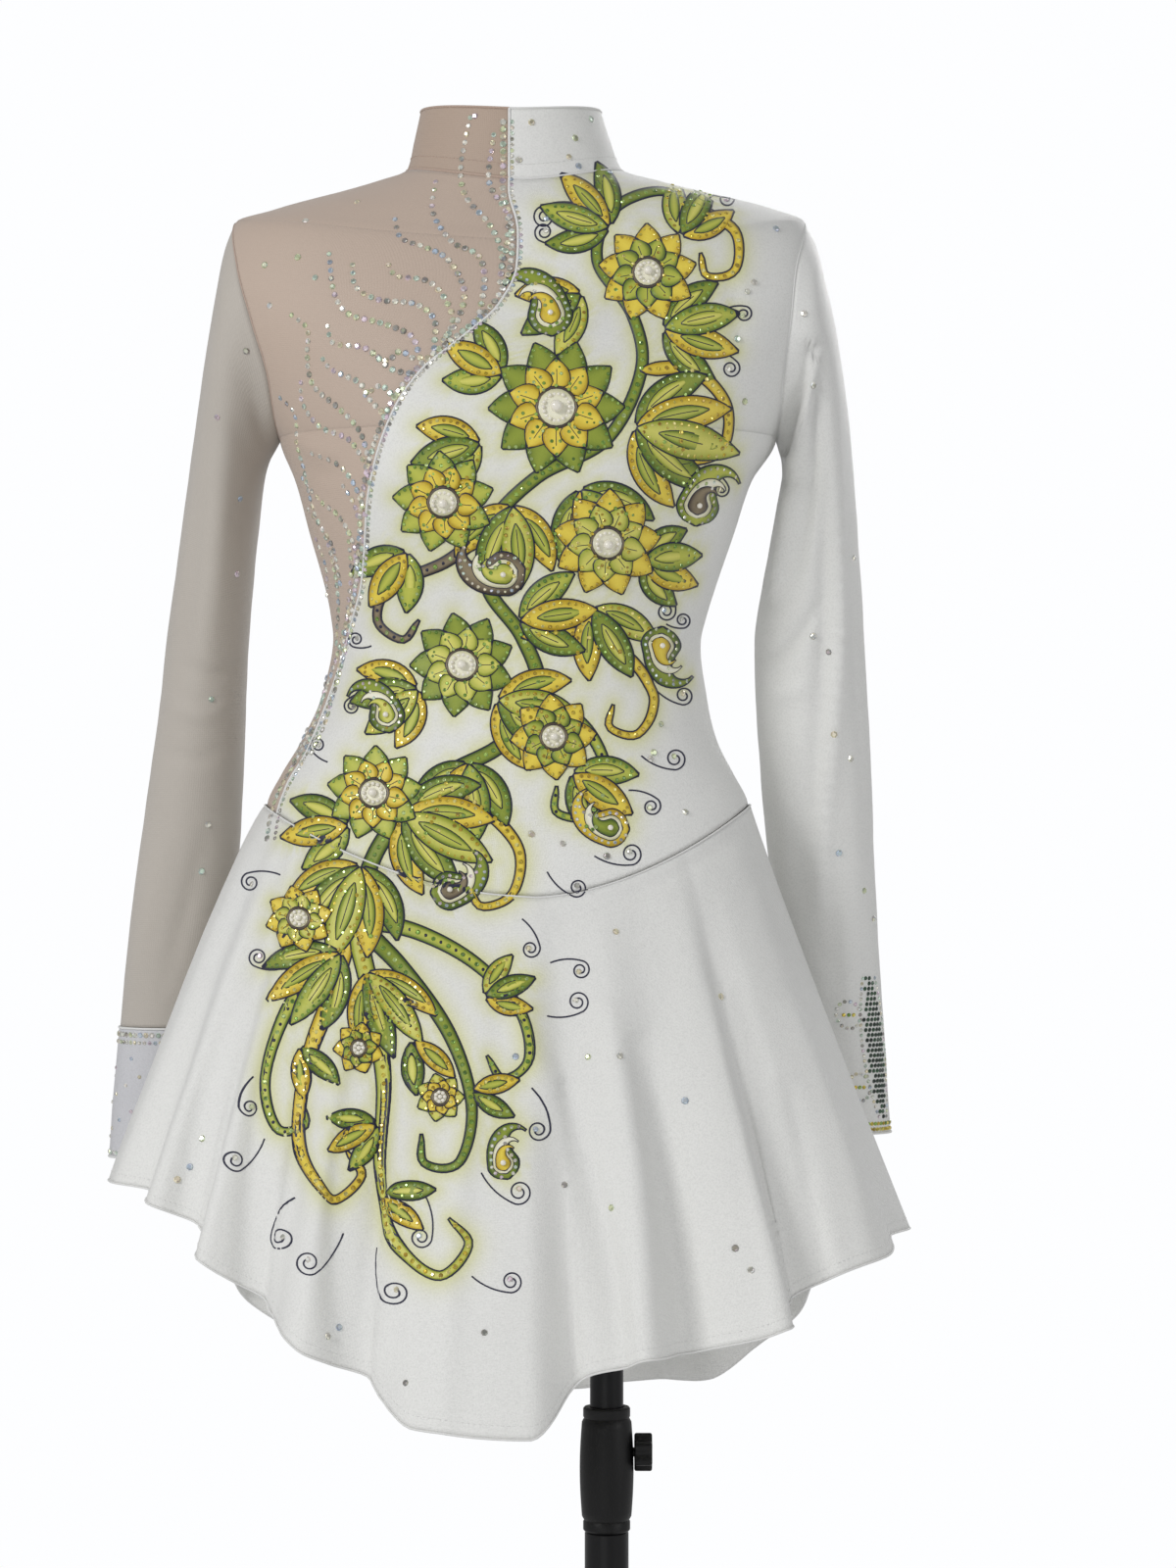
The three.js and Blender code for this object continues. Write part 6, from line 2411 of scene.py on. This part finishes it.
@dataclass
class Studio:
    """The floor, lights and camera."""

    floor_radius: float = 2.4

    def build(self) -> None:
        """Makes the studio."""
        self.build_floor()
        self.build_camera()
        lights = (
            ("key", (-2.0, -2.1, 2.2), 0.9, 37.0), ("fill", (2.6, -1.7, 1.4), 1.4, 12.0),
            ("back", (0.9, 2.4, 2.2), 1.6, 22.0), ("low", (-0.6, -2.4, 0.25), 1.4, 3.0),
        )
        for name, place, size, power in lights:
            self.build_light(name, place, size, power)
        self.build_world()
        bpy.context.scene.view_settings.view_transform = "Standard"

    @staticmethod
    def build_world() -> None:
        """A pale surround that looks white itself and lights the dress more softly."""
        world = bpy.data.worlds.new("studio")
        bpy.context.scene.world = world
        world.use_nodes = True
        tree = world.node_tree
        seen = make(tree, "ShaderNodeLightPath", {}, {}, "Is Camera Ray")
        surround = tree.nodes["Background"].inputs
        surround["Color"].default_value = (0.985, 0.99, 1.0, 1)
        tree.links.new((0.42 + seen * 0.58).socket, surround["Strength"])

    def build_floor(self) -> None:
        """A plain pale disc under the stand."""
        bm = bmesh.new()
        bmesh.ops.create_circle(bm, cap_ends=True, segments=96, radius=self.floor_radius)
        floor = new_object("floor", to_mesh("floor", bm), False)
        colours = (srgb(238, 238, 238), srgb(244, 244, 244))
        paint = mottled("floor_paint", 0.8, 3.0, colours, (0.75, 0.05), Specular_IOR_Level=0.1)
        floor.data.materials.append(paint)
        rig.stage(floor)

    @staticmethod
    def build_light(name: str, place: tuple[float, float, float], size: float, power: float) -> None:
        """A soft square light that looks at the dress."""
        data = bpy.data.lights.new(name, "AREA")
        data.size, data.energy = size, power
        light = bpy.data.objects.new(name, data)
        light.location = place
        target = Vector((DRESS_X * MM, 0, 1.0))
        light.rotation_euler = (target - Vector(place)).to_track_quat("-Z", "Y").to_euler()
        bpy.context.scene.collection.objects.link(light)

    @staticmethod
    def build_camera() -> None:
        """The camera at the eye's place, level and square to the dress."""
        data = bpy.data.cameras.new("camera")
        data.sensor_fit = "VERTICAL"
        data.sensor_height = SENSOR
        data.lens = SENSOR * -EYE[1] / VIEW_HEIGHT
        camera = bpy.data.objects.new("camera", data)
        camera.location = to_metres(np.array(EYE))
        camera.rotation_euler = (math.pi / 2, 0, 0)
        bpy.context.scene.collection.objects.link(camera)
        bpy.context.scene.camera = camera


# ---------------------------------------------------------------- the whole


def make_finishes() -> dict[str, Material]:
    """Every material, by its use."""
    white = srgb(241, 241, 238)
    haloed = satin("pearl_satin_haloed", white, True)
    return {
        "front_left": haloed,
        "skirt_front": haloed,
        "white_satin": satin("pearl_satin", white, False),
        "nude_mesh": power_mesh("nude_power_mesh", srgb(197, 178, 163)),
        # The collar's mesh is darker for two reasons: its doubled cloth, and painted shade where the collar turns away
        # from the light.
        "collar_right_mesh": power_mesh("nude_power_mesh_double", srgb(183, 163, 147)),
        "sleeve_mesh": power_mesh("pale_power_mesh", srgb(192, 185, 176)),
        "cuff_cloth": satin("cuff_satin", srgb(214, 214, 218), False),
        "form_jersey": jersey("form_jersey_knit"),
        "black_metal": mottled(
            "black_enamel", 11.0, 3.0, ((0.002, 0.002, 0.0025), (0.006, 0.006, 0.0068)), (0.24, 0.2), 0.00006,
            380.0, Specular_IOR_Level=0.25, Coat_Weight=0.12,
        ),
        "black_plastic": mottled(
            "black_moulding", 25.0, 3.0, ((0.003, 0.003, 0.003), (0.009, 0.009, 0.0095)), (0.36, 0.18),
            0.00012, 900.0, Specular_IOR_Level=0.3,
        ),
        "zip_nylon": mottled(
            "white_nylon", 200.0, 3.0, (srgb(232, 231, 227), srgb(246, 245, 242)), (0.4, 0.15), 0.00008,
        ),
        "zip_metal": mottled(
            "white_enamel", 90.0, 3.0, (srgb(226, 224, 219), srgb(240, 239, 235)), (0.22, 0.12),
            Metallic=0.3, Coat_Weight=0.5,
        ),
        "paint": painted("textile_paint"),
        "crystal": crystal("cut_crystal"),
        "pearl": mottled(
            "cream_pearl", 300.0, 3.0, (srgb(250, 246, 232), srgb(232, 226, 214)), (0.18, 0.1),
            Coat_Weight=0.6, Coat_Roughness=0.1, Sheen_Weight=0.2,
        ),
        "white_thread": thread("white_thread", srgb(240, 240, 238)),
        "nude_thread": thread("nude_thread", srgb(196, 172, 156)),
    }


def main() -> None:
    """Builds every piece in order."""
    logging.basicConfig(level=logging.INFO, format="%(message)s")
    Studio().build()
    finishes = make_finishes()
    dress = Dress()
    dress.shape()
    pieces = dress.build(finishes)
    seen = [sheet for name, sheet in dress.sheets.items() if not name.startswith("brief")]
    front = Surface(seen, Face.FRONT)
    artwork = Artwork()
    artwork.draw()
    covered = artwork.build(front, finishes["paint"])
    for name in ("front_left", "skirt_front"):
        add_halo(pieces[name], covered)
    trimmings = Trimmings(front, dress.sheets, artwork)
    trimmings.gather()
    trimmings.build(finishes)
    Zip(dress.sheets["zip_tape"]).build(finishes)
    Form().build(finishes)
    Stand().build(finishes)


def write_sizes() -> None:
    """Keeps the CAD model's box and the visual model's box, side by side."""
    sizes = {"cad": CAD_BOX, "visual": [list(corner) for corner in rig.bounds()]}
    with open("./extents.json", "w", encoding="utf-8") as file:
        json.dump(sizes, file)


if __name__ == "__main__":
    main()
    write_sizes()
